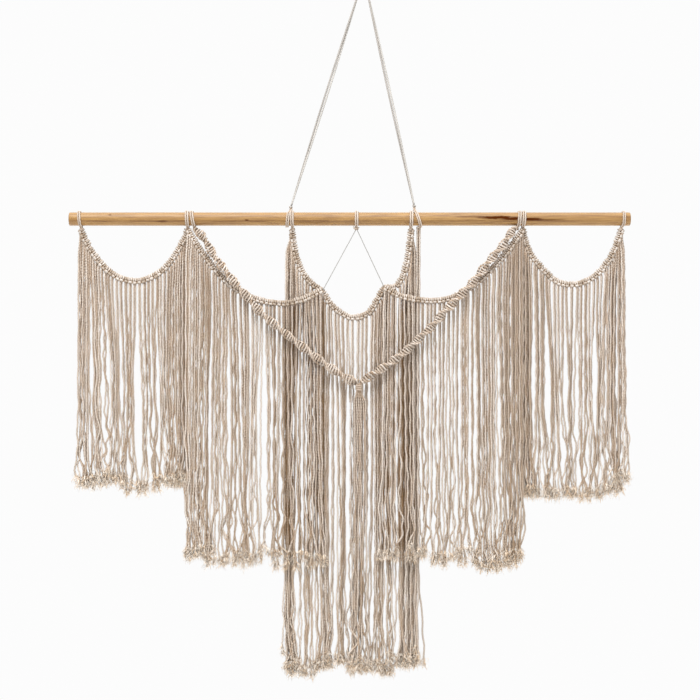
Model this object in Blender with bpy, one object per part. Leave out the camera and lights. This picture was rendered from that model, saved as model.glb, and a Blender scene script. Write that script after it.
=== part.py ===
"""Macrame wall hanging on a wooden dowel.

Five swags of lark's head knots hang from cord loops on a round dowel, and each carries a comb of cut
fringe. A spiral-knotted garland hangs in front of them and ends in a bound tassel, and a doubled cord
carries the dowel from one hook.

Frame: +X runs to the right along the dowel, the front faces -Y and +Z is up. The origin is the point
where the hanging cord bears on its hook.

The tables give places in millimetres, as a maker would lay them out: `across` from the dowel's left end,
`drop` below the dowel's axis and `depth` behind its middle plane (in front of it where negative).
"""
import math
from collections import namedtuple

import bmesh
import bpy
from mathutils import Vector

MM = 0.001

# Driving dimensions, in metres.
DOWEL_LENGTH = 1.000
DOWEL_DIAMETER = 0.024
DOWEL_EDGE_ROUNDING = 0.0012
HANGER_CORD_DIAMETER = 0.0036
HOOK_ACROSS = 0.524
HOOK_ABOVE_AXIS = 0.410
GAP = 0.0003

DOWEL_RADIUS = DOWEL_DIAMETER / 2
DOWEL_SIDES = 32
SHARP_ANGLE = math.radians(40)

# A loop is two cords side by side round the dowel, drawn together at its tip.
LOOP_STEPS = 16
LOOP_THICKNESS = 0.0034
LOOP_FIT = 0.00035
LOOP_FLAT = 0.5         # flat share of the loop's width, inside and out
LOOP_TIP_WIDTH = 0.6    # width at the tip, as a share of the width round the dowel
LOOP_TIP_SPREAD = math.radians(75)

BAND_SIDES = 3          # curve bevel resolution, 10 sides
THIN_SIDES = 2          # curve bevel resolution, 8 sides
BAND_STEPS_PER_ROW = 2
OUTLINE_STEPS_PER_ROW = 6
THREAD_RADIUS = 0.00075

# Fringe combs.
COMB_COLUMN = 0.0095    # widest step across a lock
COMB_SEAT = 0.0007      # from the band's surface to the comb's top edge
COMB_SHOULDER = 0.055   # drop over which the outer locks reach their full spread
COMB_EDGE = 0.35        # a lock's thickness at its sides, as a share of its middle
COMB_HEADING_EDGE = 0.7  # the same above the slots, where the locks are joined
COMB_ROUNDING = 0.6     # how full the lock's rounded section is
COMB_TIP_THICKNESS = 0.0022
COMB_LEVELS = (0.45, 0.93, 1.0)     # shares of the way from the slot's opening to the tips
COMB_GATHERED = 1.3     # a lock reaches its width at the tips this much sooner than its length

# The hanging cord: two strands that make one full turn round each other on the way over the hook. They lie
# one behind the other at both knots and at the hook.
HANGER_SPACING = HANGER_CORD_DIAMETER + GAP
HANGER_BEND = 0.0075
HANGER_LEG_STEPS = 12
HANGER_BEND_STEPS = 6
KNOT_RADIUS = 0.0037
KNOT_SIDES = 10
KNOT_RINGS = 7

Row = namedtuple("Row", "across drop depth radius")
Loop = namedtuple("Loop", "name across width tip lean")
Lock = namedtuple("Lock", "top_from top_to tip_from tip_to tip_drop slot_drop")
Comb = namedtuple("Comb", "name band depth thickness spread_left spread_right locks")
Section = namedtuple("Section", "across drop depth half_width half_depth")

# Loops whose tips point down, to the swags and the garland. Millimetres.
LOOPS = (
    Loop("loop_outer_left", across=18, width=8, tip=19, lean=3),
    Loop("loop_swag_left", across=210, width=8, tip=19, lean=2.5),
    Loop("loop_garland_left", across=220, width=7.6, tip=19, lean=4.6),
    Loop("loop_centre_left", across=398.0, width=7, tip=19, lean=0),
    Loop("loop_middle", across=512, width=7.4, tip=18.5, lean=0),
    Loop("loop_centre_right", across=609.3, width=7.2, tip=19, lean=0),
    Loop("loop_garland_right", across=802, width=7.2, tip=18.5, lean=-5),
    Loop("loop_swag_right", across=810.8, width=7.8, tip=19, lean=-2.5),
    Loop("loop_outer_right", across=987, width=6.5, tip=19, lean=-4),
)

# Loops whose tips point up, to the knots of the hanging cord.
HANGER_LOOPS = (
    Loop("loop_hanger_left", across=389, width=7.2, tip=17.6, lean=6),
    Loop("loop_hanger_right", across=622.4, width=6.4, tip=19.4, lean=-7),
)
HANGER_KNOT_LIFT = (0.0216, 0.0234)

# Swag bands, left to right, and the garland: a row for each place where the curve changes.
OUTER_LEFT_BAND = (
    Row(21.5, 20, 3, 3.2),
    Row(29, 37, 2.5, 4.2),
    Row(41, 58, 2, 4.8),
    Row(76, 96, 2, 4.8),
    Row(119, 110, 2, 4.6),
    Row(160, 95, 2, 4.8),
    Row(184, 69, 2.5, 4.8),
    Row(203, 37, 3.6, 4.2),
    Row(210.5, 19.8, 3.4, 3),
)
MIDDLE_LEFT_BAND = (
    Row(213.6, 19.8, -3, 3),
    Row(227, 49, -4.8, 4.6),
    Row(266, 100, -5.2, 4.8),
    Row(315, 136, -5.2, 4.8),
    Row(368, 149, -5.2, 4.6),
    Row(410, 145, -5.2, 4.8),
    Row(449, 127, -5.2, 4.2),
)
CENTRE_BAND = (
    Row(398, 20, 1, 3.2),
    Row(401, 46, 3.5, 4.6),
    Row(409, 76, 5, 4.8),
    Row(425, 107, 5, 4.8),
    Row(451.5, 129, 5, 4.6),
    Row(468, 153, 5, 4.8),
    Row(500, 174, 5, 4.8),
    Row(532, 167, 5, 4.8),
    Row(551, 139, 5, 4.8),
    Row(561, 122.5, 5, 4.6),
    Row(582, 119, 5, 4.8),
    Row(596, 95, 5, 4.8),
    Row(604, 60, 4, 4.6),
    Row(609, 20, 1, 3.2),
)
MIDDLE_RIGHT_BAND = (
    Row(563, 122, -5.2, 4.2),
    Row(595, 138, -5.2, 4.8),
    Row(648, 145, -5.2, 4.6),
    Row(693, 135, -5.2, 4.8),
    Row(739, 103, -5.2, 4.8),
    Row(778, 62, -4.8, 4.6),
    Row(807.2, 19.8, -3, 3),
)
OUTER_RIGHT_BAND = (
    Row(810.3, 19.8, 3.4, 3),
    Row(817, 46, 3, 4.4),
    Row(832, 74, 2, 4.8),
    Row(866, 108, 2, 4.8),
    Row(900, 116, 2, 4.6),
    Row(935, 102, 2, 4.8),
    Row(962, 72, 2, 4.8),
    Row(976, 42, 2.5, 4.2),
    Row(983, 20, 3, 3.2),
)
GARLAND_LEFT = (
    Row(225.2, 19.2, -3, 3.6),
    Row(241.7, 35.9, -12.6, 5.4),
    Row(259.7, 67.1, -15, 5.8),
    Row(278.6, 92.4, -16.2, 6),
    Row(301.8, 120.8, -16.8, 6),
    Row(323.1, 144.7, -16.8, 6),
    Row(344.1, 168.8, -16.8, 6),
    Row(384, 202.4, -16.6, 6),
    Row(409.6, 222.7, -15.8, 6),
    Row(451.7, 255.6, -13.4, 5.7),
    Row(478.3, 273.4, -12, 5.2),
    Row(500.5, 286.7, -10.4, 4.5),
    Row(508.6, 289.6, -10, 4.3),
    Row(516.1, 290.2, -10, 4.3),
)
GARLAND_RIGHT = (
    Row(796.6, 19, -3.2, 3.6),
    Row(769.2, 49.6, -13, 5.6),
    Row(751.2, 69.3, -15.4, 5.9),
    Row(717.8, 111.4, -16.8, 6),
    Row(684.6, 148.1, -16.8, 6),
    Row(666.9, 166.9, -16.8, 6),
    Row(651.2, 186.4, -16.8, 6),
    Row(629.1, 207.5, -16.4, 6),
    Row(598.1, 236.8, -14.8, 6),
    Row(567.1, 260, -12.8, 5.6),
    Row(549.3, 271.1, -12, 5.2),
    Row(531.6, 283.4, -10.6, 4.6),
    Row(524.6, 288.6, -10, 4.3),
    Row(517.9, 290.2, -10, 4.3),
)

# Fringe: a row for each lock, with its ends at the band and at its tips, and where the slot to its right
# opens.
COMBS = (
    Comb("fringe_outer_left", OUTER_LEFT_BAND, depth=2, thickness=4.4, spread_left=1, spread_right=0, locks=(
        Lock(16, 37, 16, 35, 487, 198),
        Lock(37, 57, 38, 58, 478, 323),
        Lock(57, 81, 67, 91, 483, 296),
        Lock(81, 122, 98, 116, 490, 198),
        Lock(122, 155, 131, 151, 494, 323),
        Lock(155, 181, 164, 188, 478, 394),
        Lock(181, 207, 190, 210, 474, 0),
    )),
    Comb("fringe_middle_left", MIDDLE_LEFT_BAND, depth=-5, thickness=4.4, spread_left=1, spread_right=0,
         locks=(
        Lock(210, 244, 209, 240, 608, 323),
        Lock(244, 283, 250, 281, 619, 287),
        Lock(283, 315, 290, 313, 611, 394),
        Lock(315, 349, 321, 344, 627, 323),
        Lock(349, 365, 353, 363, 601, 465),
        Lock(365, 395, 369, 394, 617, 376),
        Lock(395, 422, 398, 422, 608, 412),
        Lock(422, 448, 426, 450, 622, 0),
    )),
    Comb("fringe_centre", CENTRE_BAND, depth=5, thickness=5.6, spread_left=8, spread_right=0, locks=(
        Lock(392, 404, 385, 400, 783, 572),
        Lock(404, 420, 402, 422, 790, 501),
        Lock(420, 467, 427, 465, 808, 608),
        Lock(467, 500, 471, 495, 786, 501),
        Lock(500, 536, 501, 534, 800, 537),
        Lock(536, 574, 543, 572, 822, 501),
        Lock(574, 594, 576, 593, 804, 537),
        Lock(594, 614, 595, 614, 808, 0),
    )),
    Comb("fringe_middle_right", MIDDLE_RIGHT_BAND, depth=-5, thickness=4.4, spread_left=0, spread_right=1,
         locks=(
        Lock(564, 593, 561, 594, 608, 412),
        Lock(593, 633, 598, 631, 617, 198),
        Lock(633, 661, 639, 657, 608, 465),
        Lock(661, 695, 664, 693, 622, 358),
        Lock(695, 723, 698, 717, 601, 198),
        Lock(723, 764, 728, 763, 629, 447),
        Lock(764, 806, 768, 806, 613, 0),
    )),
    Comb("fringe_outer_right", OUTER_RIGHT_BAND, depth=2, thickness=4.4, spread_left=0, spread_right=1,
         locks=(
        Lock(812, 829, 810, 825, 492, 216),
        Lock(829, 854, 831, 849, 497, 224),
        Lock(854, 886, 859, 880, 503, 216),
        Lock(886, 905, 891, 900, 495, 340),
        Lock(905, 938, 909, 936, 501, 198),
        Lock(938, 968, 941, 967, 490, 394),
        Lock(968, 992, 969, 997, 469, 0),
    )),
)

# The bound tassel and the loose bundle that hangs from the right hanger loop: a row for each section.
WRAP = (
    Section(517, 294.9, -10, 6.6, 5.2),
    Section(517, 297.5, -10, 7.2, 5.8),
    Section(517, 303.5, -10, 7.2, 5.8),
    Section(517, 306, -10, 6.8, 5.4),
)
TASSEL = (
    Section(517, 306.5, -10, 6, 4.6),
    Section(517.4, 323, -9, 10, 4.6),
    Section(518, 370, -8, 12.4, 4.2),
    Section(519, 560, -8, 13, 4),
    Section(519, 700, -8, 12.6, 4),
    Section(518, 780, -8, 12.6, 3.6),
    Section(518, 796, -8, 11, 1.6),
)
TAIL = (
    Section(624.6, 16.6, 1.4, 3.4, 2.4),
    Section(623, 30, 4.4, 4.2, 3),
    Section(622, 300, 5, 4.2, 3),
    Section(622, 700, 5, 4.2, 3),
    Section(622, 775, 5, 4, 2.6),
    Section(622, 790, 5, 3.2, 1.2),
)
BUNDLE_SIDES = 10

# Stay threads, from the middle loop's knot to the swags: top and foot of each.
STAYS = (
    ("stay_left", (510.9, 19.1, 0), (452.4, 126.2, 0.1)),
    ("stay_right", (513.1, 19.1, 0), (560.6, 120, 0.1)),
)


def place(across, drop, depth):
    """World position of a point given by the tables' millimetres."""
    return Vector((across * MM - HOOK_ACROSS, depth * MM, -HOOK_ABOVE_AXIS - drop * MM))


def clear_scene():
    for obj in list(bpy.data.objects):
        bpy.data.objects.remove(obj, do_unlink=True)


def make_material(name, colour, roughness):
    material = bpy.data.materials.new(name)
    material.use_nodes = True
    shader = material.node_tree.nodes["Principled BSDF"]
    shader.inputs["Base Color"].default_value = (*colour, 1.0)
    shader.inputs["Roughness"].default_value = roughness
    shader.inputs["Metallic"].default_value = 0.0
    return material


def add_object(name, data, material):
    obj = bpy.data.objects.new(name, data)
    bpy.context.scene.collection.objects.link(obj)
    data.materials.append(material)
    return obj


def add_mesh(name, verts, faces, material):
    mesh = bpy.data.meshes.new(name)
    mesh.from_pydata([tuple(v) for v in verts], [], faces)
    mesh.update()
    shape = bmesh.new()
    shape.from_mesh(mesh)
    bmesh.ops.recalc_face_normals(shape, faces=shape.faces)
    shape.to_mesh(mesh)
    shape.free()
    mesh.shade_smooth()
    mesh.set_sharp_from_angle(angle=SHARP_ANGLE)
    return add_object(name, mesh, material)


def smooth_rows(rows, steps):
    """Catmull-Rom curve through a table's rows, with the same number of steps between each pair."""
    values = [Vector(row) for row in rows]
    values = [values[0] * 2 - values[1]] + values + [values[-1] * 2 - values[-2]]
    out = []
    for i in range(1, len(values) - 2):
        before, start, end, after = values[i - 1:i + 3]
        for step in range(steps):
            t = step / steps
            bend = (before * 2 - start * 5 + end * 4 - after) * t * t
            twist = (start * 3 - before - end * 3 + after) * t * t * t
            out.append((start * 2 + (end - before) * t + bend + twist) / 2)
    out.append(values[-2])
    return out


def add_tube(name, points, radii, resolution, material):
    """Tube with filled ends along a poly curve, its radius given at each point."""
    curve = bpy.data.curves.new(name, "CURVE")
    curve.dimensions = "3D"
    curve.bevel_depth = 1.0
    curve.bevel_resolution = resolution
    curve.use_fill_caps = True
    curve.twist_mode = "MINIMUM"
    spline = curve.splines.new("POLY")
    spline.points.add(len(points) - 1)
    for spline_point, point, radius in zip(spline.points, points, radii):
        spline_point.co = (*point, 1.0)
        spline_point.radius = radius
    return add_object(name, curve, material)


def add_band(name, rows, material):
    smooth = smooth_rows(rows, BAND_STEPS_PER_ROW)
    points = [place(row[0], row[1], row[2]) for row in smooth]
    radii = [row[3] * MM for row in smooth]
    return add_tube(name, points, radii, BAND_SIDES, material)


def add_loop(loop, pointing, material):
    """Flat ring round the dowel that runs out to a point below it (-1) or above it (+1)."""
    inner = (DOWEL_RADIUS + LOOP_FIT) / math.cos(math.pi / LOOP_STEPS)
    outer = inner + LOOP_THICKNESS
    tip_reach = loop.tip * MM
    middle = (inner + outer) / 2
    verts = []
    for step in range(LOOP_STEPS):
        angle = 2 * math.pi * step / LOOP_STEPS
        off_tip = abs((angle - pointing * math.pi / 2 + math.pi) % (2 * math.pi) - math.pi)
        share = max(0.0, 1 - off_tip / LOOP_TIP_SPREAD) ** 2
        reach = outer + (tip_reach - outer) * share
        half = loop.width * MM / 2 * (1 - (1 - LOOP_TIP_WIDTH) * share)
        shift = loop.lean * MM * share
        centre = place(loop.across, 0, 0)
        flat = half * LOOP_FLAT
        profile = ((-half, middle), (shift - flat, reach), (shift + flat, reach),
                   (half, middle), (flat, inner), (-flat, inner))
        for offset, radius in profile:
            around = Vector((0, math.cos(angle), math.sin(angle))) * radius
            verts.append(centre + Vector((offset, 0, 0)) + around)
    faces = []
    corners = len(profile)
    for step in range(LOOP_STEPS):
        following = (step + 1) % LOOP_STEPS
        for corner in range(corners):
            side = (corner + 1) % corners
            faces.append((step * corners + corner, step * corners + side,
                          following * corners + side, following * corners + corner))
    return add_mesh(loop.name, verts, faces, material)


def add_leaning_loop(loop, material):
    """The right hanger loop slants across the dowel, from its knot down to the tail bundle."""
    obj = add_loop(loop._replace(lean=0), 1, material)
    for vertex in obj.data.vertices:
        height = vertex.co.z + HOOK_ABOVE_AXIS
        vertex.co.x += loop.lean * MM * height / (loop.tip * MM)
    obj.data.update()
    return obj


def lower_outline(rows):
    """Points along the underside of a band, a seat's gap outside it."""
    smooth = smooth_rows(rows, OUTLINE_STEPS_PER_ROW)
    outline = []
    for i, row in enumerate(smooth):
        before = smooth[max(i - 1, 0)]
        after = smooth[min(i + 1, len(smooth) - 1)]
        run = Vector((after[0] - before[0], after[1] - before[1])).normalized()
        offset = row[3] + COMB_SEAT / MM
        outline.append((row[0] - run.y * offset, row[1] + run.x * offset))
    return outline


def drop_at(outline, across):
    """Lowest drop of an outline at one place across."""
    drops = []
    for (x0, z0), (x1, z1) in zip(outline, outline[1:]):
        if min(x0, x1) <= across <= max(x0, x1) and x0 != x1:
            drops.append(z0 + (z1 - z0) * (across - x0) / (x1 - x0))
    if drops:
        return max(drops)
    nearest = min(outline, key=lambda point: abs(point[0] - across))
    return nearest[1]


def comb_columns(lock):
    """How many steps across a lock takes."""
    width = (lock.top_to - lock.top_from) * MM
    return max(2, math.ceil(width / COMB_COLUMN))


def add_comb(comb, material):
    """One fringe comb: locks that are joined above their slots and separate below them."""
    outline = lower_outline(comb.band)
    verts = []
    faces = []
    index = {}

    def corner(key, across, drop, thickness):
        if key not in index:
            index[key] = len(verts)
            verts.append(place(across, drop, comb.depth - thickness / 2))
            verts.append(place(across, drop, comb.depth + thickness / 2))
        return index[key]

    last = len(comb.locks) - 1
    for number, lock in enumerate(comb.locks):
        columns = comb_columns(lock)
        slot_left = comb.locks[number - 1].slot_drop if number else lock.slot_drop
        slot_right = lock.slot_drop if number < last else slot_left
        grid = []
        for column in range(columns + 1):
            share = column / columns
            top_across = lock.top_from + (lock.top_to - lock.top_from) * share
            tip_across = lock.tip_from + (lock.tip_to - lock.tip_from) * share
            slot_drop = slot_left + (slot_right - slot_left) * share
            top_drop = drop_at(outline, top_across)
            spread = -comb.spread_left * max(0.0, 1 - share * 2) if number == 0 else 0.0
            if number == last:
                spread = comb.spread_right * max(0.0, share * 2 - 1)
            rounded = COMB_EDGE + (1 - COMB_EDGE) * math.sin(math.pi * share) ** COMB_ROUNDING
            thickness = comb.thickness * rounded
            heading = comb.thickness * max(rounded, COMB_HEADING_EDGE)
            # Both locks beside a slot share the corners above its opening.
            owner = number
            place_in = column
            if column == columns and number < last:
                owner = number + 1
                place_in = 0
            shoulder_drop = top_drop + COMB_SHOULDER / MM
            line = [corner((owner, place_in, "top"), top_across, top_drop, heading),
                    corner((owner, place_in, "shoulder"), top_across + spread, shoulder_drop, heading),
                    corner((owner, place_in, "slot"), top_across + spread, slot_drop, thickness)]
            for level, fraction in enumerate(COMB_LEVELS):
                start_across = top_across + spread
                across = start_across + (tip_across - start_across) * min(1.0, fraction * COMB_GATHERED)
                drop = slot_drop + (lock.tip_drop - slot_drop) * fraction
                depth_share = thickness if fraction < 1 else COMB_TIP_THICKNESS / MM
                line.append(corner((number, column, level), across, drop, depth_share))
            grid.append(line)
        levels = len(grid[0])
        for left, right in zip(grid, grid[1:]):
            for upper in range(levels - 1):
                faces.append((left[upper], right[upper], right[upper + 1], left[upper + 1]))
                faces.append((left[upper] + 1, left[upper + 1] + 1, right[upper + 1] + 1, right[upper] + 1))
            faces.append((left[0], left[0] + 1, right[0] + 1, right[0]))
            faces.append((left[-1], right[-1], right[-1] + 1, left[-1] + 1))
        first_open = 0 if number == 0 else 2
        for upper in range(first_open, levels - 1):
            line = grid[0]
            faces.append((line[upper], line[upper + 1], line[upper + 1] + 1, line[upper] + 1))
        first_open = 0 if number == last else 2
        for upper in range(first_open, levels - 1):
            line = grid[-1]
            faces.append((line[upper], line[upper] + 1, line[upper + 1] + 1, line[upper + 1]))
    return add_mesh(comb.name, verts, faces, material)


def add_bundle(name, sections, material):
    """Bundle of strands with a rounded cross-section, a ring of corners for each section."""
    verts = []
    for section in sections:
        centre = place(section.across, section.drop, section.depth)
        for side in range(BUNDLE_SIDES):
            angle = 2 * math.pi * side / BUNDLE_SIDES
            verts.append(centre + Vector((math.cos(angle) * section.half_width * MM,
                                          math.sin(angle) * section.half_depth * MM, 0)))
    faces = [tuple(range(BUNDLE_SIDES))]
    for ring in range(len(sections) - 1):
        for side in range(BUNDLE_SIDES):
            following = (side + 1) % BUNDLE_SIDES
            faces.append((ring * BUNDLE_SIDES + side, ring * BUNDLE_SIDES + following,
                          (ring + 1) * BUNDLE_SIDES + following, (ring + 1) * BUNDLE_SIDES + side))
    last = (len(sections) - 1) * BUNDLE_SIDES
    faces.append(tuple(last + side for side in range(BUNDLE_SIDES)))
    return add_mesh(name, verts, faces, material)


def add_knot(name, centre, material):
    mesh = bpy.data.meshes.new(name)
    shape = bmesh.new()
    bmesh.ops.create_uvsphere(shape, u_segments=KNOT_SIDES, v_segments=KNOT_RINGS, radius=KNOT_RADIUS)
    bmesh.ops.translate(shape, verts=shape.verts, vec=centre)
    shape.to_mesh(mesh)
    shape.free()
    mesh.shade_smooth()
    return add_object(name, mesh, material)


def hanger_route(left_knot, right_knot):
    """Centre line between the two strands: up from one knot, round the hook and down to the other."""
    radius = HANGER_BEND
    middle = Vector((0, 0, HANGER_CORD_DIAMETER / 2 - radius))
    points = []
    for knot, side in ((left_knot, -1), (right_knot, 1)):
        across = knot.x - middle.x
        down = middle.z - knot.z
        # A leg leaves the bend where it is square to the line from the bend's middle.
        leg_angle = math.atan2(abs(across), down)
        leg_angle -= math.asin(radius / math.hypot(across, down))
        leave = middle + Vector((side * math.cos(leg_angle), 0, math.sin(leg_angle))) * radius
        start = leave + (knot - leave) * (1 - (KNOT_RADIUS + GAP) / (knot - leave).length)
        leg = [start + (leave - start) * (step / HANGER_LEG_STEPS) for step in range(HANGER_LEG_STEPS + 1)]
        start_angle = math.atan2(leave.z - middle.z, leave.x - middle.x)
        bend = []
        for step in range(1, HANGER_BEND_STEPS):
            angle = start_angle + (math.pi / 2 - start_angle) * step / HANGER_BEND_STEPS
            bend.append(middle + Vector((math.cos(angle), 0, math.sin(angle))) * radius)
        points.append(leg + bend)
    top = middle + Vector((0, 0, radius))
    return points[0] + [top] + points[1][::-1]


def add_hanger_strands(left_knot, right_knot, material):
    centre_line = hanger_route(left_knot, right_knot)
    lengths = [0.0]
    for before, after in zip(centre_line, centre_line[1:]):
        lengths.append(lengths[-1] + (after - before).length)
    for name, side in (("hanger_strand_front", -1), ("hanger_strand_back", 1)):
        points = []
        for i, point in enumerate(centre_line):
            before = centre_line[max(i - 1, 0)]
            after = centre_line[min(i + 1, len(centre_line) - 1)]
            run = (after - before).normalized()
            square = Vector((run.z, 0, -run.x))
            turn = math.pi / 2 + 2 * math.pi * lengths[i] / lengths[-1]
            offset = square * math.cos(turn) + Vector((0, 1, 0)) * math.sin(turn)
            points.append(point + offset * side * HANGER_SPACING / 2)
        radii = [HANGER_CORD_DIAMETER / 2] * len(points)
        add_tube(name, points, radii, THIN_SIDES, material)


def add_dowel(material):
    shape = bmesh.new()
    bmesh.ops.create_cone(shape, cap_ends=True, segments=DOWEL_SIDES, radius1=DOWEL_RADIUS,
                          radius2=DOWEL_RADIUS, depth=DOWEL_LENGTH)
    mesh = bpy.data.meshes.new("dowel")
    shape.to_mesh(mesh)
    shape.free()
    mesh.shade_smooth()
    mesh.set_sharp_from_angle(angle=SHARP_ANGLE)
    obj = add_object("dowel", mesh, material)
    obj.rotation_euler = (0, math.pi / 2, 0)
    obj.location = place(DOWEL_LENGTH / 2 / MM, 0, 0)
    rounding = obj.modifiers.new("end rounding", "BEVEL")
    rounding.width = DOWEL_EDGE_ROUNDING
    rounding.segments = 2
    rounding.limit_method = "ANGLE"
    rounding.angle_limit = SHARP_ANGLE
    return obj


def main():
    clear_scene()
    wood = make_material("oiled_pine_dowel", (0.60, 0.38, 0.20), 0.5)
    cotton = make_material("twisted_cotton_cord", (0.62, 0.52, 0.42), 0.9)
    thread = make_material("grey_stay_thread", (0.50, 0.49, 0.47), 0.8)

    add_dowel(wood)
    for loop in LOOPS:
        add_loop(loop, -1, cotton)
    left_loop, right_loop = HANGER_LOOPS
    add_loop(left_loop, 1, cotton)
    add_leaning_loop(right_loop, cotton)

    left_knot = place(left_loop.across + left_loop.lean, 0, 0)
    left_knot.z += HANGER_KNOT_LIFT[0]
    right_knot = place(right_loop.across + right_loop.lean, 0, 0)
    right_knot.z += HANGER_KNOT_LIFT[1]
    add_knot("hanger_knot_left", left_knot, cotton)
    add_knot("hanger_knot_right", right_knot, cotton)
    add_hanger_strands(left_knot, right_knot, cotton)

    for name, rows in (("band_outer_left", OUTER_LEFT_BAND), ("band_middle_left", MIDDLE_LEFT_BAND),
                       ("band_centre", CENTRE_BAND), ("band_middle_right", MIDDLE_RIGHT_BAND),
                       ("band_outer_right", OUTER_RIGHT_BAND), ("garland_left", GARLAND_LEFT),
                       ("garland_right", GARLAND_RIGHT)):
        add_band(name, rows, cotton)
    for comb in COMBS:
        add_comb(comb, cotton)
    add_bundle("garland_wrap", WRAP, cotton)
    add_bundle("garland_tassel", TASSEL, cotton)
    add_bundle("tail_bundle", TAIL, cotton)
    for name, top, foot in STAYS:
        add_tube(name, [place(*top), place(*foot)], [THREAD_RADIUS] * 2, THIN_SIDES, thread)


main()
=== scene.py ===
"""Looks of the macrame wall hanging: cords, knots, frayed ends, the dowel's wood, light and camera."""
import math
from collections import namedtuple

import bpy
import numpy as np
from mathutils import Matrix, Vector

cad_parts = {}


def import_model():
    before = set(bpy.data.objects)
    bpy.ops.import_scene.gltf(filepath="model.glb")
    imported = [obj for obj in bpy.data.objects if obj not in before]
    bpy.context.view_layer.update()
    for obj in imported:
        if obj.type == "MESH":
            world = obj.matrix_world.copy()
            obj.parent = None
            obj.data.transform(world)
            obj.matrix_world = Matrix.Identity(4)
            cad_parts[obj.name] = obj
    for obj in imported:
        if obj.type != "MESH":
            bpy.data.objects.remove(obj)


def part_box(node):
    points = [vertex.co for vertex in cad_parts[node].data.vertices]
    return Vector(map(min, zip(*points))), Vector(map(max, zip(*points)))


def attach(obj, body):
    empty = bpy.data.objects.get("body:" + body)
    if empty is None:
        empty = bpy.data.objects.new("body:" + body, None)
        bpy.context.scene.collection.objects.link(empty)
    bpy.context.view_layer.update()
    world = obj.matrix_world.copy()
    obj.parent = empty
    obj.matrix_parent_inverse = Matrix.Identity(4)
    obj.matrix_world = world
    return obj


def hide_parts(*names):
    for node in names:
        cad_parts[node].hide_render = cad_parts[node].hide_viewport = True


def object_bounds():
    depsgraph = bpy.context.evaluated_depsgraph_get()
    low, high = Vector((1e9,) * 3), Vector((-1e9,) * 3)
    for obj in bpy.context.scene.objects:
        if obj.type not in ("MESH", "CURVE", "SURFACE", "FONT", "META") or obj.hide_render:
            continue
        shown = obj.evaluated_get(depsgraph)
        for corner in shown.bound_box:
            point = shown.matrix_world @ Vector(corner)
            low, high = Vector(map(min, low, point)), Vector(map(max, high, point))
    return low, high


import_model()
cad_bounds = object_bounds()

# Lengths below are millimetres in the maker's own layout: X runs right from the dowel's left end, Y runs
# back from its middle plane and Z up from its axis. `drop` is a distance below the axis.
MM = 0.001
DOWEL_LOW, DOWEL_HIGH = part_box("dowel")
DOWEL_LENGTH = (DOWEL_HIGH[0] - DOWEL_LOW[0]) / MM
DOWEL_RADIUS = (DOWEL_HIGH[1] - DOWEL_LOW[1]) / 2 / MM
LAYOUT_ORIGIN = np.array([DOWEL_LOW[0], 0.0, (DOWEL_LOW[2] + DOWEL_HIGH[2]) / 2])

CORD = 1.95             # radius of a twisted cord over its plies
HANGER_CORD = 1.8
TWIST_PITCH = 25.0      # one full turn of a ply; 16 to 20 on the real cord, drawn a little coarser
PLY_GROOVE = 0.13       # depth of the groove between plies, as a share of the radius
TAUT_GROOVE = 0.02      # pulled straight by the weight, the hanging cord is almost smooth
STILL_GROOVE = 0.07     # the tail was combed out and hangs still, so its plies lie closer
CORD_STEP = 4.9         # distance between rings along a hanging cord
CREVICE_REACH = 1.5     # a gap between two cords narrower than this gets painted shade
TRACE_STEP = 1.5        # distance between the points that stand for a cord when gaps are looked for
SEARCH_HEIGHT = 5.0     # how far above and below a corner other cords are looked for
FAR_OFF = 400.0         # square of a distance that is surely no gap
FULL_TURN = 2 * math.pi
LIVELY = np.random.default_rng(20)    # every small unevenness is drawn from it, in the order of the work

Row = namedtuple("Row", "across drop depth")
Lock = namedtuple("Lock", "top_from top_to mid_from mid_to low_from low_to tip")
Panel = namedtuple("Panel", "name band front mid low thin locks")
Loop = namedtuple("Loop", "name top foot end tip spacing thick up")
Exit = namedtuple("Exit", "start away tone knot side")


# ---------------------------------------------------------------- small mathematics

def world(points):
    """Layout millimetres to metres in the row frame."""
    return LAYOUT_ORIGIN + np.asarray(points, float) * MM


def run_along(points):
    """How far along a line each of its points lies."""
    return np.concatenate([[0], np.cumsum(np.linalg.norm(np.diff(points, axis=0), axis=1))])


def unit(vectors):
    """The same directions, each one long."""
    lengths = np.linalg.norm(vectors, axis=-1, keepdims=True)
    return vectors / np.maximum(lengths, 1e-9)


def smooth_curve(rows, steps):
    """Catmull-Rom curve through rows of numbers, with `steps` parts between each pair."""
    rows = np.asarray(rows, float)
    rows = np.vstack([2 * rows[0] - rows[1], rows, 2 * rows[-1] - rows[-2]])
    t = np.linspace(0, 1, steps, endpoint=False)[:, None]
    parts = []
    for before, start, end, after in zip(rows, rows[1:], rows[2:], rows[3:]):
        parts.append((2 * start + (end - before) * t + (2 * before - 5 * start + 4 * end - after) * t ** 2
                      + (3 * start - before - 3 * end + after) * t ** 3) / 2)
    return np.vstack(parts + [rows[-2:-1]])


def even_curve(points, step):
    """The same curve with its points a fixed distance apart."""
    points = np.asarray(points, float)
    run = run_along(points)
    count = max(2, int(round(run[-1] / step)) + 1)
    at = np.linspace(0, run[-1], count)
    return np.stack([np.interp(at, run, points[:, k]) for k in range(points.shape[1])], axis=1)


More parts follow.
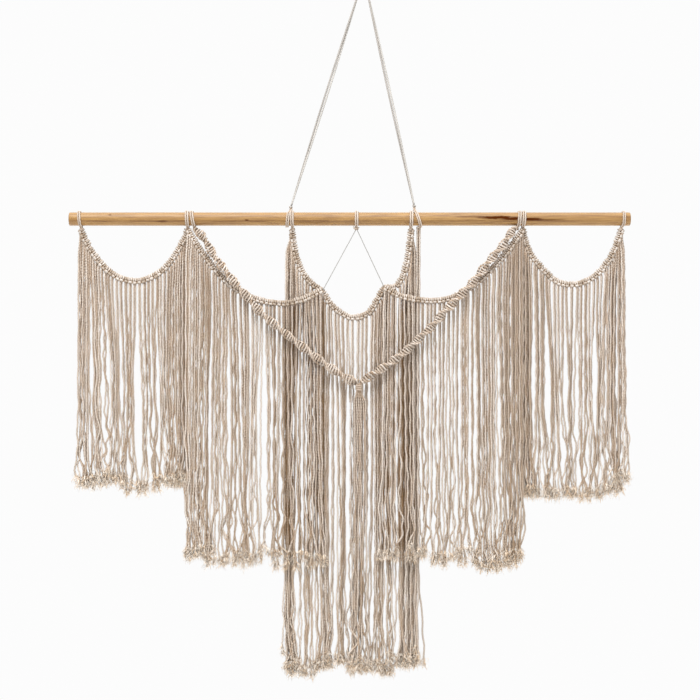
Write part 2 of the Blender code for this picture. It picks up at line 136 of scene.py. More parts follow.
def smooth_through(known_at, known, at):
    """Cubic through a few known values that never swings past them."""
    known_at = np.asarray(known_at, float)
    known = np.asarray(known, float)
    grade = np.diff(known) / np.diff(known_at)
    same_way = grade[:-1] * grade[1:] > 0
    total = np.where(same_way, grade[:-1] + grade[1:], 1.0)
    slope = np.zeros(len(known))
    slope[1:-1] = np.where(same_way, 2 * grade[:-1] * grade[1:] / total, 0.0)
    index = np.clip(np.searchsorted(known_at, at) - 1, 0, len(known) - 2)
    width = known_at[index + 1] - known_at[index]
    t = np.clip((at - known_at[index]) / width, 0, 1)
    return ((2 * t ** 3 - 3 * t ** 2 + 1) * known[index] + (t ** 3 - 2 * t ** 2 + t) * width * slope[index]
            + (3 * t ** 2 - 2 * t ** 3) * known[index + 1] + (t ** 3 - t ** 2) * width * slope[index + 1])


def ease(share):
    """A soft step: 0 up to 0, 1 from 1 on, and level at both."""
    share = np.clip(share, 0, 1)
    return share * share * (3 - 2 * share)


# ---------------------------------------------------------------- cords as swept tubes

class Work:
    """The tubes of one piece: their corners, faces and surface values."""

    def __init__(self):
        self.corners = []
        self.quads = []
        self.tris = []
        self.values = {"tone": [], "groove": [], "fray": [], "crevice": []}
        self.lines = []
        self.count = 0

    def add(self, corners, quads, tris, tone, groove, fray, crevice=0.0):
        size = len(corners)
        self.corners.append(corners)
        if len(quads):
            self.quads.append(np.asarray(quads) + self.count)
        if len(tris):
            self.tris.append(np.asarray(tris) + self.count)
        for key, value in (("tone", tone), ("groove", groove), ("fray", fray), ("crevice", crevice)):
            self.values[key].append(np.broadcast_to(np.asarray(value, float).ravel(), (size,)))
        self.count += size

    def trace(self, path, run, radius, sides):
        """Keeps a tube's middle line, to find where tubes lie close together."""
        first = self.count
        fine = np.linspace(0, run[-1], max(2, int(run[-1] / TRACE_STEP)))
        line = np.stack([np.interp(fine, run, path[:, k]) for k in range(3)], axis=1)
        owner = np.full(len(line), len(self.lines))
        self.lines.append((line, owner, fine, np.interp(fine, run, radius), first, np.repeat(run, sides)))

    def crevices(self):
        """How shut in each corner is by other cords, or by its own cord further on, for the painted shade in
        gaps:
        0 open, 1 in a gap.
        """
        shut = np.concatenate(self.values["crevice"]).copy()
        if not self.lines:
            return shut
        points, owners, runs, thick = (np.concatenate([line[k] for line in self.lines]) for k in range(4))
        corners = np.vstack(self.corners)
        traced = np.concatenate([first + np.arange(len(own)) for _, _, _, _, first, own in self.lines])
        owner = np.repeat(np.arange(len(self.lines)), [len(line[5]) for line in self.lines])
        run = np.concatenate([line[5] for line in self.lines])
        order = np.argsort(corners[traced, 2])
        line_order = np.argsort(points[:, 2])
        heights = points[line_order, 2]
        for some in np.array_split(order, max(1, len(order) // 2500)):
            here = corners[traced[some]]
            near = line_order[np.searchsorted(heights, here[:, 2].min() - SEARCH_HEIGHT):
                              np.searchsorted(heights, here[:, 2].max() + SEARCH_HEIGHT)]
            there = points[near]
            apart = (here ** 2).sum(1)[:, None] + (there ** 2).sum(1)[None] - 2 * here @ there.T
            same_cord = owner[some][:, None] == owners[near]
            same_place = np.abs(run[some][:, None] - runs[near]) < 4 * CORD
            apart[same_cord & same_place] = FAR_OFF
            nearest = apart.argmin(axis=1)
            gap = np.sqrt(np.maximum(apart[np.arange(len(some)), nearest], 0)) - thick[near[nearest]]
            shut[traced[some]] += np.clip(1 - gap / CREVICE_REACH, 0, 1)
        return shut

    def build(self, name, material):
        """Makes the piece's mesh, with its surface values on its corners for the material to read."""
        self.values["crevice"] = [self.crevices()]
        corners = world(np.vstack(self.corners))
        quads = np.vstack(self.quads) if self.quads else np.zeros((0, 4), int)
        tris = np.vstack(self.tris) if self.tris else np.zeros((0, 3), int)
        mesh = bpy.data.meshes.new(name)
        mesh.vertices.add(len(corners))
        mesh.vertices.foreach_set("co", corners.astype(np.float32).ravel())
        mesh.loops.add(quads.size + tris.size)
        mesh.loops.foreach_set("vertex_index", np.concatenate([quads.ravel(), tris.ravel()]).astype(np.int32))
        mesh.polygons.add(len(quads) + len(tris))
        starts = np.concatenate([np.arange(len(quads)) * 4, quads.size + np.arange(len(tris)) * 3])
        mesh.polygons.foreach_set("loop_start", starts.astype(np.int32))
        mesh.update(calc_edges=True)
        mesh.shade_smooth()
        for key, parts in self.values.items():
            layer = mesh.attributes.new(key, "FLOAT", "POINT")
            layer.data.foreach_set("value", np.concatenate(parts).astype(np.float32))
        mesh.materials.append(material)
        piece = bpy.data.objects.new(name, mesh)
        bpy.context.scene.collection.objects.link(piece)
        return piece


def turn_free_sides(path, tangent):
    """Side directions that follow a path without turning about it."""
    side = np.zeros_like(path)
    guess = np.array([0.0, 1.0, 0.0]) if abs(tangent[0][1]) < 0.9 else np.array([1.0, 0.0, 0.0])
    side[0] = unit(guess - tangent[0] * guess.dot(tangent[0]))
    for i in range(1, len(path)):
        kept = side[i - 1] - tangent[i] * side[i - 1].dot(tangent[i])
        side[i] = unit(kept)
    return side


def tube_faces(rings, sides):
    """Four-cornered faces round a tube of rings, and the three-cornered fans that close its two ends."""
    ring = np.arange(rings - 1)[:, None] * sides
    column = np.arange(sides)[None]
    following = (column + 1) % sides
    quads = np.stack([ring + column, ring + following, ring + sides + following, ring + sides + column], -1)
    last = (rings - 1) * sides
    fans = [[0, i + 1, i] for i in range(1, sides - 1)]
    fans += [[last, last + i, last + i + 1] for i in range(1, sides - 1)]
    return quads.reshape(-1, 4), fans


def sweep(work, path, radius, sides=6, plies=False, turned=0.0, tone=0.5, fray=0.0, crevice=0.0,
          free=False):
    """Adds a closed tube. With plies, every other corner sinks into a groove and the rings turn.

    `plies` is the groove's depth as a share of the radius. A free tube's sides follow its path in any
    direction; the others keep one side to the back, which is quicker and right for a cord that hangs.
    """
    path = np.asarray(path, float)
    rings = len(path)
    tangent = unit(np.gradient(path, axis=0))
    if free:
        side = turn_free_sides(path, tangent)
    else:
        back = np.array([0.0, 1.0, 0.0])
        side = unit(back - tangent * tangent[:, 1:2])
    other = np.cross(tangent, side)
    run = run_along(path)
    angle = FULL_TURN * np.arange(sides) / sides + turned
    angle = np.broadcast_to(angle, (rings, sides))
    radius = np.broadcast_to(np.asarray(radius, float), (rings,))[:, None]
    work.trace(path, run, radius[:, 0], sides)
    groove = np.zeros(sides)
    if plies is not False:
        angle = angle + FULL_TURN * run[:, None] / TWIST_PITCH
        groove = (np.arange(sides) % 2).astype(float)
        depth = np.broadcast_to(np.asarray(plies, float), (rings,))[:, None]
        radius = radius * (1 - depth * groove)
    corners = (path[:, None] + side[:, None] * (np.cos(angle) * radius)[..., None]
               + other[:, None] * (np.sin(angle) * radius)[..., None])
    quads, fans = tube_faces(rings, sides)
    fray = np.broadcast_to(np.asarray(fray, float), (rings,))
    crevice = np.broadcast_to(np.asarray(crevice, float), (rings,))
    work.add(corners.reshape(-1, 3), quads, fans, tone,
             np.tile(groove, rings), np.repeat(fray, sides), np.repeat(crevice, sides))


FIBRE_WAIST = 0.75                     # a fibre's thickness half way along it, as a share of its root's
FIBRE_FRAY = (0.8, 0.9, 1.0)           # how loose it looks at its root, half way along and at its point


def add_fibres(work, roots, ends, bow, thick, tone):
    """Many fine pointed fibres, three-sided, each bowed in the middle."""
    count = len(roots)
    around = FULL_TURN * np.arange(3) / 3
    ring = np.stack([np.cos(around), np.sin(around), np.zeros(3)], -1)
    middle = (roots + ends) / 2 + bow
    thick = thick[:, None, None]
    corners = np.concatenate([roots[:, None] + ring * thick, middle[:, None] + ring * thick * FIBRE_WAIST,
                              ends[:, None]], axis=1)
    # The fibres run downwards, so their faces wind the other way round from a rising tube's.
    base = (np.arange(count) * 7)[:, None]
    column = np.arange(3)
    following = (column + 1) % 3
    quads = np.stack([base + following, base + column, base + 3 + column, base + 3 + following], -1)
    points = np.stack([base + 3 + following, base + 3 + column, np.broadcast_to(base + 6, (count, 3))], -1)
    tris = np.vstack([base + column, points.reshape(-1, 3)])
    fray = np.repeat(FIBRE_FRAY, (3, 3, 1))
    work.add(corners.reshape(-1, 3), quads.reshape(-1, 4), tris, np.repeat(tone, 7), 0.0,
             np.tile(fray, count))


# ---------------------------------------------------------------- materials

def linear(code):
    """sRGB hex to linear RGBA."""
    values = [int(code[i:i + 2], 16) / 255 for i in (0, 2, 4)]
    return tuple(v / 12.92 if v <= 0.04045 else ((v + 0.055) / 1.055) ** 2.4 for v in values) + (1.0,)


def add(tree, kind, settings=None, inputs=None):
    """Adds a node with its settings, and its inputs set to values or linked to other nodes' outputs."""
    made = tree.nodes.new(kind)
    for name, value in (settings or {}).items():
        setattr(made, name, value)
    for name, value in (inputs or {}).items():
        if isinstance(value, bpy.types.NodeSocket):
            tree.links.new(value, made.inputs[name])
        else:
            made.inputs[name].default_value = value
    return made


def start_material(name):
    """A new material, its node tree and the shader to work on."""
    material = bpy.data.materials.new(name)
    material.use_nodes = True
    tree = material.node_tree
    return material, tree, tree.nodes["Principled BSDF"]


# Colours of the cotton where it has frayed, and of the painted shade where it sinks in a groove or is
# shut in by other cords.
FRAYED_DARK = "F0D6B7"
FRAYED_LIGHT = "FFF5E8"
GROOVE_SHADE = "957E66"
CREVICE_SHADE_COLOUR = "BFA27D"
CREVICE_WEIGHT = 0.64      # how far the painted shade goes in the narrowest gap


def twisted_cotton(name, dark, light, grooves=0.55, fuzz=0.35):
    """Natural cotton macrame cord, spun and laid in three plies, unbleached.

    The eye gets a matt, slightly furry surface with a warm beige, small differences from cord to cord, and
    warmer, lighter fibres where a cut end has frayed. Painted shade darkens the grooves between the plies and
    browns the gaps where cords are shut in by others. `grooves` is how dark the painted shade in the grooves
    is, and `fuzz` how much the fibres roughen the surface.
    """
    material, tree, shader = start_material(name)
    tone = add(tree, "ShaderNodeAttribute", {"attribute_name": "tone"}).outputs["Fac"]
    groove = add(tree, "ShaderNodeAttribute", {"attribute_name": "groove"}).outputs["Fac"]
    fray = add(tree, "ShaderNodeAttribute", {"attribute_name": "fray"}).outputs["Fac"]
    crevice = add(tree, "ShaderNodeAttribute", {"attribute_name": "crevice"}).outputs["Fac"]
    place = add(tree, "ShaderNodeTexCoord").outputs["Object"]
    # Slubs and shading along a cord, about 30 mm long.
    slub = add(tree, "ShaderNodeTexNoise", None, {"Vector": place, "Scale": 33.0, "Detail": 2.0})
    # Single fibres are 0.02 mm; these tufts of them are 1 mm, as coarse as shows.
    fibre = add(tree, "ShaderNodeTexNoise", None, {"Vector": place, "Scale": 900.0, "Detail": 3.0})
    cord = add(tree, "ShaderNodeMix", {"data_type": "RGBA"},
               {0: tone, 6: linear(dark), 7: linear(light)})
    slub_shade = add(tree, "ShaderNodeMapRange", None,
                     {"Value": slub.outputs["Fac"], "From Min": 0.3, "From Max": 0.7,
                      "To Min": 0.86, "To Max": 1.0}).outputs["Result"]
    slubbed = add(tree, "ShaderNodeMix", {"data_type": "RGBA", "blend_type": "MULTIPLY"},
                  {0: 1.0, 6: cord.outputs[2], 7: slub_shade})
    loose = add(tree, "ShaderNodeMix", {"data_type": "RGBA"},
                {0: tone, 6: linear(FRAYED_DARK), 7: linear(FRAYED_LIGHT)})
    ended = add(tree, "ShaderNodeMix", {"data_type": "RGBA"},
                {0: fray, 6: slubbed.outputs[2], 7: loose.outputs[2]})
    # Painted shade in the grooves between the plies.
    shade = add(tree, "ShaderNodeMath", {"operation": "MULTIPLY"}, {0: groove, 1: grooves})
    grooved = add(tree, "ShaderNodeMix", {"data_type": "RGBA"},
                  {0: shade.outputs[0], 6: ended.outputs[2], 7: linear(GROOVE_SHADE)})
    # Painted shade: where cords lie against each other, their colour is darkened and browned, as light that
    # comes off their fibres again and again would turn it.
    hidden = add(tree, "ShaderNodeMath", {"operation": "MULTIPLY", "use_clamp": True},
                 {0: crevice, 1: CREVICE_WEIGHT})
    shut_in = add(tree, "ShaderNodeMix", {"data_type": "RGBA", "blend_type": "MULTIPLY"},
                  {0: hidden.outputs[0], 6: grooved.outputs[2], 7: linear(CREVICE_SHADE_COLOUR)})
    rough = add(tree, "ShaderNodeBump", None, {"Height": fibre.outputs["Fac"], "Strength": fuzz,
                                               "Distance": 0.0005})
    tree.links.new(shut_in.outputs[2], shader.inputs["Base Color"])
    tree.links.new(rough.outputs["Normal"], shader.inputs["Normal"])
    shader.inputs["Roughness"].default_value = 0.92
    shader.inputs["IOR"].default_value = 1.5
    shader.inputs["Specular IOR Level"].default_value = 0.12
    shader.inputs["Sheen Weight"].default_value = 0.06
    shader.inputs["Sheen Roughness"].default_value = 0.6
    return material


def grey_thread():
    """Thin grey polyester thread, loosely spun: a soft pale grey line with a faint sheen."""
    material, tree, shader = start_material("grey_stay_thread")
    place = add(tree, "ShaderNodeTexCoord").outputs["Object"]
    # One turn of the thread's twist is about 2 mm.
    twist = add(tree, "ShaderNodeTexNoise", None, {"Vector": place, "Scale": 160.0, "Detail": 1.0})
    colour = add(tree, "ShaderNodeMix", {"data_type": "RGBA"},
                 {0: twist.outputs["Fac"], 6: linear("908E8A"), 7: linear("A3A19D")})
    rough = add(tree, "ShaderNodeBump", None, {"Height": twist.outputs["Fac"], "Strength": 0.3,
                                               "Distance": 0.0003})
    tree.links.new(colour.outputs[2], shader.inputs["Base Color"])
    tree.links.new(rough.outputs["Normal"], shader.inputs["Normal"])
    shader.inputs["Roughness"].default_value = 0.7
    return material


def oiled_pine():
    """Pine dowel, turned, sanded and lightly oiled.

    The eye gets a warm honey wood with fine lengthwise grain 1 to 2 mm apart, one long dark pitch streak
    on the right half, a few pin knots and a soft sheen from the oil. Long dark bands along the front, just
    above and below its middle, are painted shade; the two below stand partly for a dark line of grain.
    """
    material, tree, shader = start_material("oiled_pine_dowel")
    place = add(tree, "ShaderNodeTexCoord").outputs["Object"]
    # Lines of the grain: 1 to 2 mm across it and 50 mm along it.
    along = add(tree, "ShaderNodeMapping", None, {"Vector": place, "Scale": (20.0, 420.0, 420.0)})
    grain = add(tree, "ShaderNodeTexNoise", None,
                {"Vector": along.outputs["Vector"], "Scale": 1.0, "Detail": 5.0, "Roughness": 0.6})
    # Paler and browner stretches, about 11 mm across the grain and 200 mm along it.
    broad = add(tree, "ShaderNodeMapping", None, {"Vector": place, "Scale": (5.0, 90.0, 90.0)})
    cloud = add(tree, "ShaderNodeTexNoise", None,
                {"Vector": broad.outputs["Vector"], "Scale": 1.0, "Detail": 3.0})
    light = add(tree, "ShaderNodeMix", {"data_type": "RGBA"},
                {0: cloud.outputs["Fac"], 6: linear("90682F"), 7: linear("AC8446")})
    lines = add(tree, "ShaderNodeMapRange", None,
                {"Value": grain.outputs["Fac"], "From Min": 0.42, "From Max": 0.66, "To Min": 0.0,
                 "To Max": 0.75})
    grained = add(tree, "ShaderNodeMix", {"data_type": "RGBA"},
                  {0: lines.outputs["Result"], 6: light.outputs[2], 7: linear("704819")})
    colour = grained.outputs[2]
    dulled = 0.0
    # Each mark's edge, the shade bands' too, is ragged, in shreds of about 3 mm.
    for across, drop, half_length, half_height, strength in WOOD_MARKS_AND_SHADE_BANDS:
        centre = world([across, -DOWEL_RADIUS, -drop])
        offset = add(tree, "ShaderNodeVectorMath", {"operation": "SUBTRACT"}, {0: place, 1: Vector(centre)})
        wobble = add(tree, "ShaderNodeMapping", None, {"Vector": place, "Scale": (60.0, 300.0, 300.0)})
        uneven = add(tree, "ShaderNodeTexNoise", None,
                     {"Vector": wobble.outputs["Vector"], "Scale": 1.0, "Detail": 4.0})
        scaled = add(tree, "ShaderNodeVectorMath", {"operation": "MULTIPLY"},
                     {0: offset.outputs[0], 1: (1 / (half_length * MM), 1 / (DOWEL_RADIUS * MM * 0.8),
                                                1 / (half_height * MM))})
        reach = add(tree, "ShaderNodeVectorMath", {"operation": "LENGTH"}, {0: scaled.outputs[0]})
        ragged = add(tree, "ShaderNodeMath", {"operation": "MULTIPLY_ADD"},
                     {0: uneven.outputs["Fac"], 1: 1.0, 2: reach.outputs["Value"]})
        mask = add(tree, "ShaderNodeMapRange", None,
                   {"Value": ragged.outputs[0], "From Min": 0.9, "From Max": 1.55, "To Min": strength,
                    "To Max": 0.0})
        marked = add(tree, "ShaderNodeMix", {"data_type": "RGBA"},
                     {0: mask.outputs["Result"], 6: colour, 7: linear("4A2206")})
        colour = marked.outputs[2]
        dulled = add(tree, "ShaderNodeMath", {"operation": "MAXIMUM"},
                     {0: dulled, 1: mask.outputs["Result"]}).outputs[0]
    raised = add(tree, "ShaderNodeBump", None, {"Height": grain.outputs["Fac"], "Strength": 0.25,
                                                "Distance": 0.0004})
    sheen = add(tree, "ShaderNodeMapRange", None,
                {"Value": grain.outputs["Fac"], "To Min": 0.46, "To Max": 0.6})
    tree.links.new(colour, shader.inputs["Base Color"])
    tree.links.new(raised.outputs["Normal"], shader.inputs["Normal"])
    tree.links.new(sheen.outputs["Result"], shader.inputs["Roughness"])
    shader.inputs["IOR"].default_value = 1.5
    # The pitch in a knot's mark takes the shine off the wood, and so do the bands of painted shade.
    shine = add(tree, "ShaderNodeMath", {"operation": "MULTIPLY_ADD"}, {0: dulled, 1: -0.42, 2: 0.45})
    film = add(tree, "ShaderNodeMath", {"operation": "MULTIPLY_ADD", "use_clamp": True},
               {0: dulled, 1: -0.62, 2: 0.52})
    tree.links.new(shine.outputs[0], shader.inputs["Specular IOR Level"])
    tree.links.new(film.outputs[0], shader.inputs["Coat Weight"])
    shader.inputs["Coat Roughness"].default_value = 0.45
    shader.inputs["Sheen Weight"].default_value = 0.65
    shader.inputs["Sheen Roughness"].default_value = 0.3
    return material


def plain_floor():
    """Matt painted board, pale and even."""
    material, tree, shader = start_material("pale_floor")
    shader.inputs["Base Color"].default_value = linear("E9E8E6")
    shader.inputs["Roughness"].default_value = 0.9
    return material


# ---------------------------------------------------------------- layout tables

# Dark marks in the wood's front: across, drop, half length, half height, strength. The first four are
# long bands of painted shade along the whole dowel, just above and below its middle; the two below stand
# partly for a dark line of grain.
WOOD_MARKS_AND_SHADE_BANDS = (
    (250, 4.2, 400, 1.9, 0.38),
    (740, 4.2, 420, 1.8, 0.36),
    (330, -4.2, 430, 2.2, 0.2),
    (780, -4.2, 380, 2.0, 0.18),
    (450, -0.4, 60, 1.0, 0.2),
    (724, -3.4, 42, 1.7, 0.6),
    (764, -2.0, 38, 3.7, 1.2),
    (794, -0.2, 28, 3.8, 1.2),
    (822, 0.9, 24, 3.4, 1.1),
    (850, 1.8, 36, 2.4, 0.65),
    (317, 2.6, 4, 2.0, 0.8),
    (168, 4.6, 12, 2.2, 0.6),
    (74, -7.0, 4, 2.0, 0.55),
    (621, 7.0, 26, 1.6, 0.4),
    (430, 6.6, 40, 1.4, 0.4),
)

# Middle lines of the swags' holding cords and of the garland's halves, from the end on the dowel or the
# centre swag onwards.
OUTER_LEFT_BAND = (
    Row(21.5, 20, 3), Row(29, 37, 2.5), Row(41, 58, 2), Row(76, 96, 2), Row(119, 110, 2),
    Row(160, 95, 2), Row(184, 69, 2.5), Row(203, 37, 3.6), Row(210.5, 19.8, 3.4),
)
MIDDLE_LEFT_BAND = (
    Row(213.6, 19.8, -3), Row(230, 47.6, -4.8), Row(269, 98.6, -5.2), Row(316, 135, -5.2),
    Row(368, 149, -5.2), Row(410, 145, -5.2), Row(449, 127, -5.2),
)
CENTRE_BAND = (
    Row(398, 20, 1), Row(401, 46, 3.5), Row(409, 76, 5), Row(425, 107, 5), Row(451.5, 129, 5),
    Row(468, 153, 5), Row(500, 174, 5), Row(532, 167, 5), Row(551, 139, 5), Row(561, 122.5, 5),
    Row(582, 119, 5), Row(596, 95, 5), Row(604, 60, 4), Row(609, 20, 1),
)
MIDDLE_RIGHT_BAND = (
    Row(563, 122, -5.2), Row(595, 138, -5.2), Row(648, 145, -5.2), Row(693, 135, -5.2),
    Row(738, 102, -5.2), Row(777, 61, -4.8), Row(807.2, 19.8, -3),
)
OUTER_RIGHT_BAND = (
    Row(810.3, 19.8, 3.4), Row(817, 46, 3), Row(832, 74, 2), Row(866, 108, 2), Row(900, 116, 2),
    Row(935, 102, 2), Row(962, 72, 2), Row(976, 42, 2.5), Row(983, 20, 3),
)
GARLAND_LEFT = (
    Row(223.8, 17.5, -3), Row(231.5, 24.2, -7), Row(241.7, 35.9, -12.6), Row(259.7, 67.1, -15),
    Row(278.6, 92.4, -16.2), Row(301.8, 120.8, -16.8), Row(323.1, 144.7, -16.8),
    Row(344.1, 168.8, -16.8), Row(384, 202.4, -16.6), Row(409.6, 222.7, -15.8),
    Row(451.7, 255.6, -13.4), Row(478.3, 273.4, -12), Row(500.5, 286.7, -10.4), Row(508.6, 289.6, -10),
    Row(516.1, 290.2, -10),
)
GARLAND_RIGHT = (
    Row(797.5, 17, -4), Row(790, 21, -8), Row(770.1, 50.4, -13), Row(752.2, 70.2, -15.4),
    Row(718.8, 112.3, -16.8), Row(685.3, 148.7, -16.8), Row(666.9, 166.9, -16.8),
    Row(651.2, 186.4, -16.8), Row(629.1, 207.5, -16.4), Row(598.1, 236.8, -14.8),
    Row(567.1, 260, -12.8), Row(549.3, 271.1, -12), Row(531.6, 283.4, -10.6), Row(524.6, 288.6, -10),
    Row(517.9, 290.2, -10),
)

# Fringe panels: front is the depth of its foremost cords, mid and low the drops of the next two columns, and
# thin the locks with half their cords combed away. Locks: where each one leaves its band, where it hangs at
# mid and at low, from and to across, and the drop of its tips.
PANELS = (
    Panel("outer_left", OUTER_LEFT_BAND, front=0.5, mid=296, low=421, thin=(), locks=(
        Lock(16, 37, 14, 37, 16, 40, 479), Lock(37, 57, 40, 57, 40, 60, 476),
        Lock(57, 64, 60, 71, 68, 73, 462), Lock(64, 90, 74, 90, 74, 90, 472),
        Lock(90, 98, 93, 101, 94, 98, 476), Lock(98, 121, 101, 115, 101, 116, 487),
        Lock(121, 144, 128, 147, 131, 148, 490), Lock(144, 155, 149, 155, 153, 157, 474),
        Lock(155, 172, 159, 172, 163, 178, 478), Lock(172, 190, 172, 192, 178, 194, 476),
        Lock(190, 214, 192, 213, 194, 214, 478))),
    Panel("middle_left", MIDDLE_LEFT_BAND, front=-6.5, mid=340, low=519, thin=(10,), locks=(
        Lock(208, 244, 206, 242, 209, 238, 604), Lock(244, 254, 242, 248, 239, 247, 601),
        Lock(254, 283, 253, 282, 253, 285, 620), Lock(283, 304, 288, 306, 288, 309, 615),
        Lock(304, 322, 307, 322, 311, 319, 611), Lock(322, 344, 324, 336, 322, 338, 619),
        Lock(344, 349, 339, 345, 341, 345, 608), Lock(349, 358, 353, 360, 355, 360, 601),
        Lock(358, 369, 362, 369, 365, 370, 608), Lock(369, 394, 369, 394, 370, 395, 626),
        Lock(394, 422, 394, 422, 395, 420, 611), Lock(422, 456, 424, 452, 426, 454, 619))),
    Panel("centre", CENTRE_BAND, front=3.6, mid=412, low=715, thin=(), locks=(
        Lock(388, 408, 382, 399, 384, 399, 808), Lock(408, 422, 399, 422, 399, 421, 818),
        Lock(422, 427, 424, 428, 425, 431, 815), Lock(427, 443, 433, 447, 433, 449, 808),
        Lock(443, 465, 447, 463, 449, 463, 804), Lock(465, 479, 467, 483, 468, 481, 793),
        Lock(479, 497, 486, 494, 481, 493, 797), Lock(497, 504, 499, 504, 500, 504, 790),
        Lock(504, 533, 504, 533, 504, 525, 811), Lock(533, 541, 537, 543, 529, 540, 800),
        Lock(541, 559, 543, 559, 545, 559, 808), Lock(559, 574, 559, 572, 559, 573, 815),
        Lock(574, 590, 575, 590, 578, 591, 793), Lock(590, 620, 590, 621, 591, 620, 800))),
    Panel("middle_right", MIDDLE_RIGHT_BAND, front=-6.5, mid=340, low=519, thin=(1,), locks=(
        Lock(556, 579, 559, 578, 557, 577, 608), Lock(579, 611, 579, 610, 579, 611, 611),
        Lock(611, 633, 611, 633, 613, 635, 601), Lock(633, 654, 637, 655, 635, 656, 608),
        Lock(654, 675, 656, 675, 657, 677, 619), Lock(675, 694, 675, 694, 676, 695, 615),
        Lock(694, 707, 697, 708, 697, 708, 601), Lock(707, 722, 707, 721, 707, 721, 604),
        Lock(722, 734, 725, 734, 725, 739, 622), Lock(734, 764, 735, 765, 737, 766, 629),
        Lock(764, 786, 767, 787, 768, 789, 619), Lock(786, 812, 786, 811, 787, 809, 611))),
    Panel("outer_right", OUTER_RIGHT_BAND, front=0.5, mid=296, low=421, thin=(), locks=(
        Lock(805, 827, 804, 826, 806, 827, 494), Lock(827, 851, 830, 848, 829, 854, 497),
        Lock(851, 870, 858, 870, 859, 873, 501), Lock(870, 884, 870, 881, 873, 886, 501),
        Lock(884, 900, 889, 898, 891, 896, 497), Lock(900, 905, 899, 903, 898, 903, 495),
        Lock(905, 918, 907, 916, 907, 914, 499), Lock(918, 936, 919, 934, 920, 937, 503),
        Lock(936, 957, 941, 957, 939, 957, 497), Lock(957, 977, 957, 977, 957, 977, 490),
        Lock(977, 998, 977, 994, 977, 997, 472))),
)

# Single cords that stand out of their lock. Each is found by its panel, lock, knot in the lock and side of
# the knot; then come its drop and across, downwards.
STRAYS = {
    ("centre", 0, 0, -1): ((715, 383), (752, 378), (772, 381)),
    ("middle_right", 11, -1, 1): ((519, 809), (558, 812.5), (598, 805)),
    ("outer_left", 0, 0, -1): ((421, 14), (452, 11), (468, 17)),
    ("outer_right", 10, -1, 1): ((400, 996), (440, 999), (462, 995)),
}

# Loops round the dowel: across at the dowel's top and underside, across at the end where the legs meet, how
# far that is from the axis, the spacing of its two cords, their radius, and 1 when it hangs or -1 when it
# points up.
LOOPS = (
    Loop("loop_outer_left", 18.0, 20.0, 22.0, 18.6, 2.9, 1.45, 1),
    Loop("loop_swag_left", 209.8, 211.0, 211.6, 18.8, 3.5, 1.7, 1),
    Loop("loop_garland_left", 218.2, 222.2, 224.0, 18.6, 3.3, 1.65, 1),
    Loop("loop_centre_left", 397.2, 397.4, 398.4, 18.6, 3.4, 1.7, 1),
    Loop("loop_middle", 512.4, 512.2, 511.8, 17.6, 3.4, 1.65, 1),
    Loop("loop_centre_right", 610.2, 609.6, 609.0, 18.8, 3.4, 1.65, 1),
    Loop("loop_garland_right", 803.0, 801.4, 797.5, 18.2, 3.5, 1.7, 1),
    Loop("loop_swag_right", 811.0, 809.4, 808.6, 18.4, 3.5, 1.7, 1),
    Loop("loop_outer_right", 988.2, 987.4, 983.4, 18.6, 2.9, 1.45, 1),
    Loop("loop_hanger_left", 391.2, 388.6, 395.4, 17.8, 3.2, 1.6, -1),
    Loop("loop_hanger_right", 618.4, 626.2, 615.2, 19.6, 3.0, 1.5, -1),
)


# ---------------------------------------------------------------- camera, light and stage

# Studio walls: how bright the ceiling, the horizon and the white floor beyond the stage look to the hanging,
# and how bright the wall behind it looks to the camera.
CEILING = 1.85
HORIZON = 0.28
BOUNCE = 3.0
SEEN_WALL = 0.975
# Softboxes: metres from the middle of the view, size and watts.
SOFTBOXES = (
    ("key softbox", (-0.5, -1.6, 2.4), 1.1, 70.0),
    ("front fill", (0.3, -3.4, 0.2), 1.6, 17.0),
)


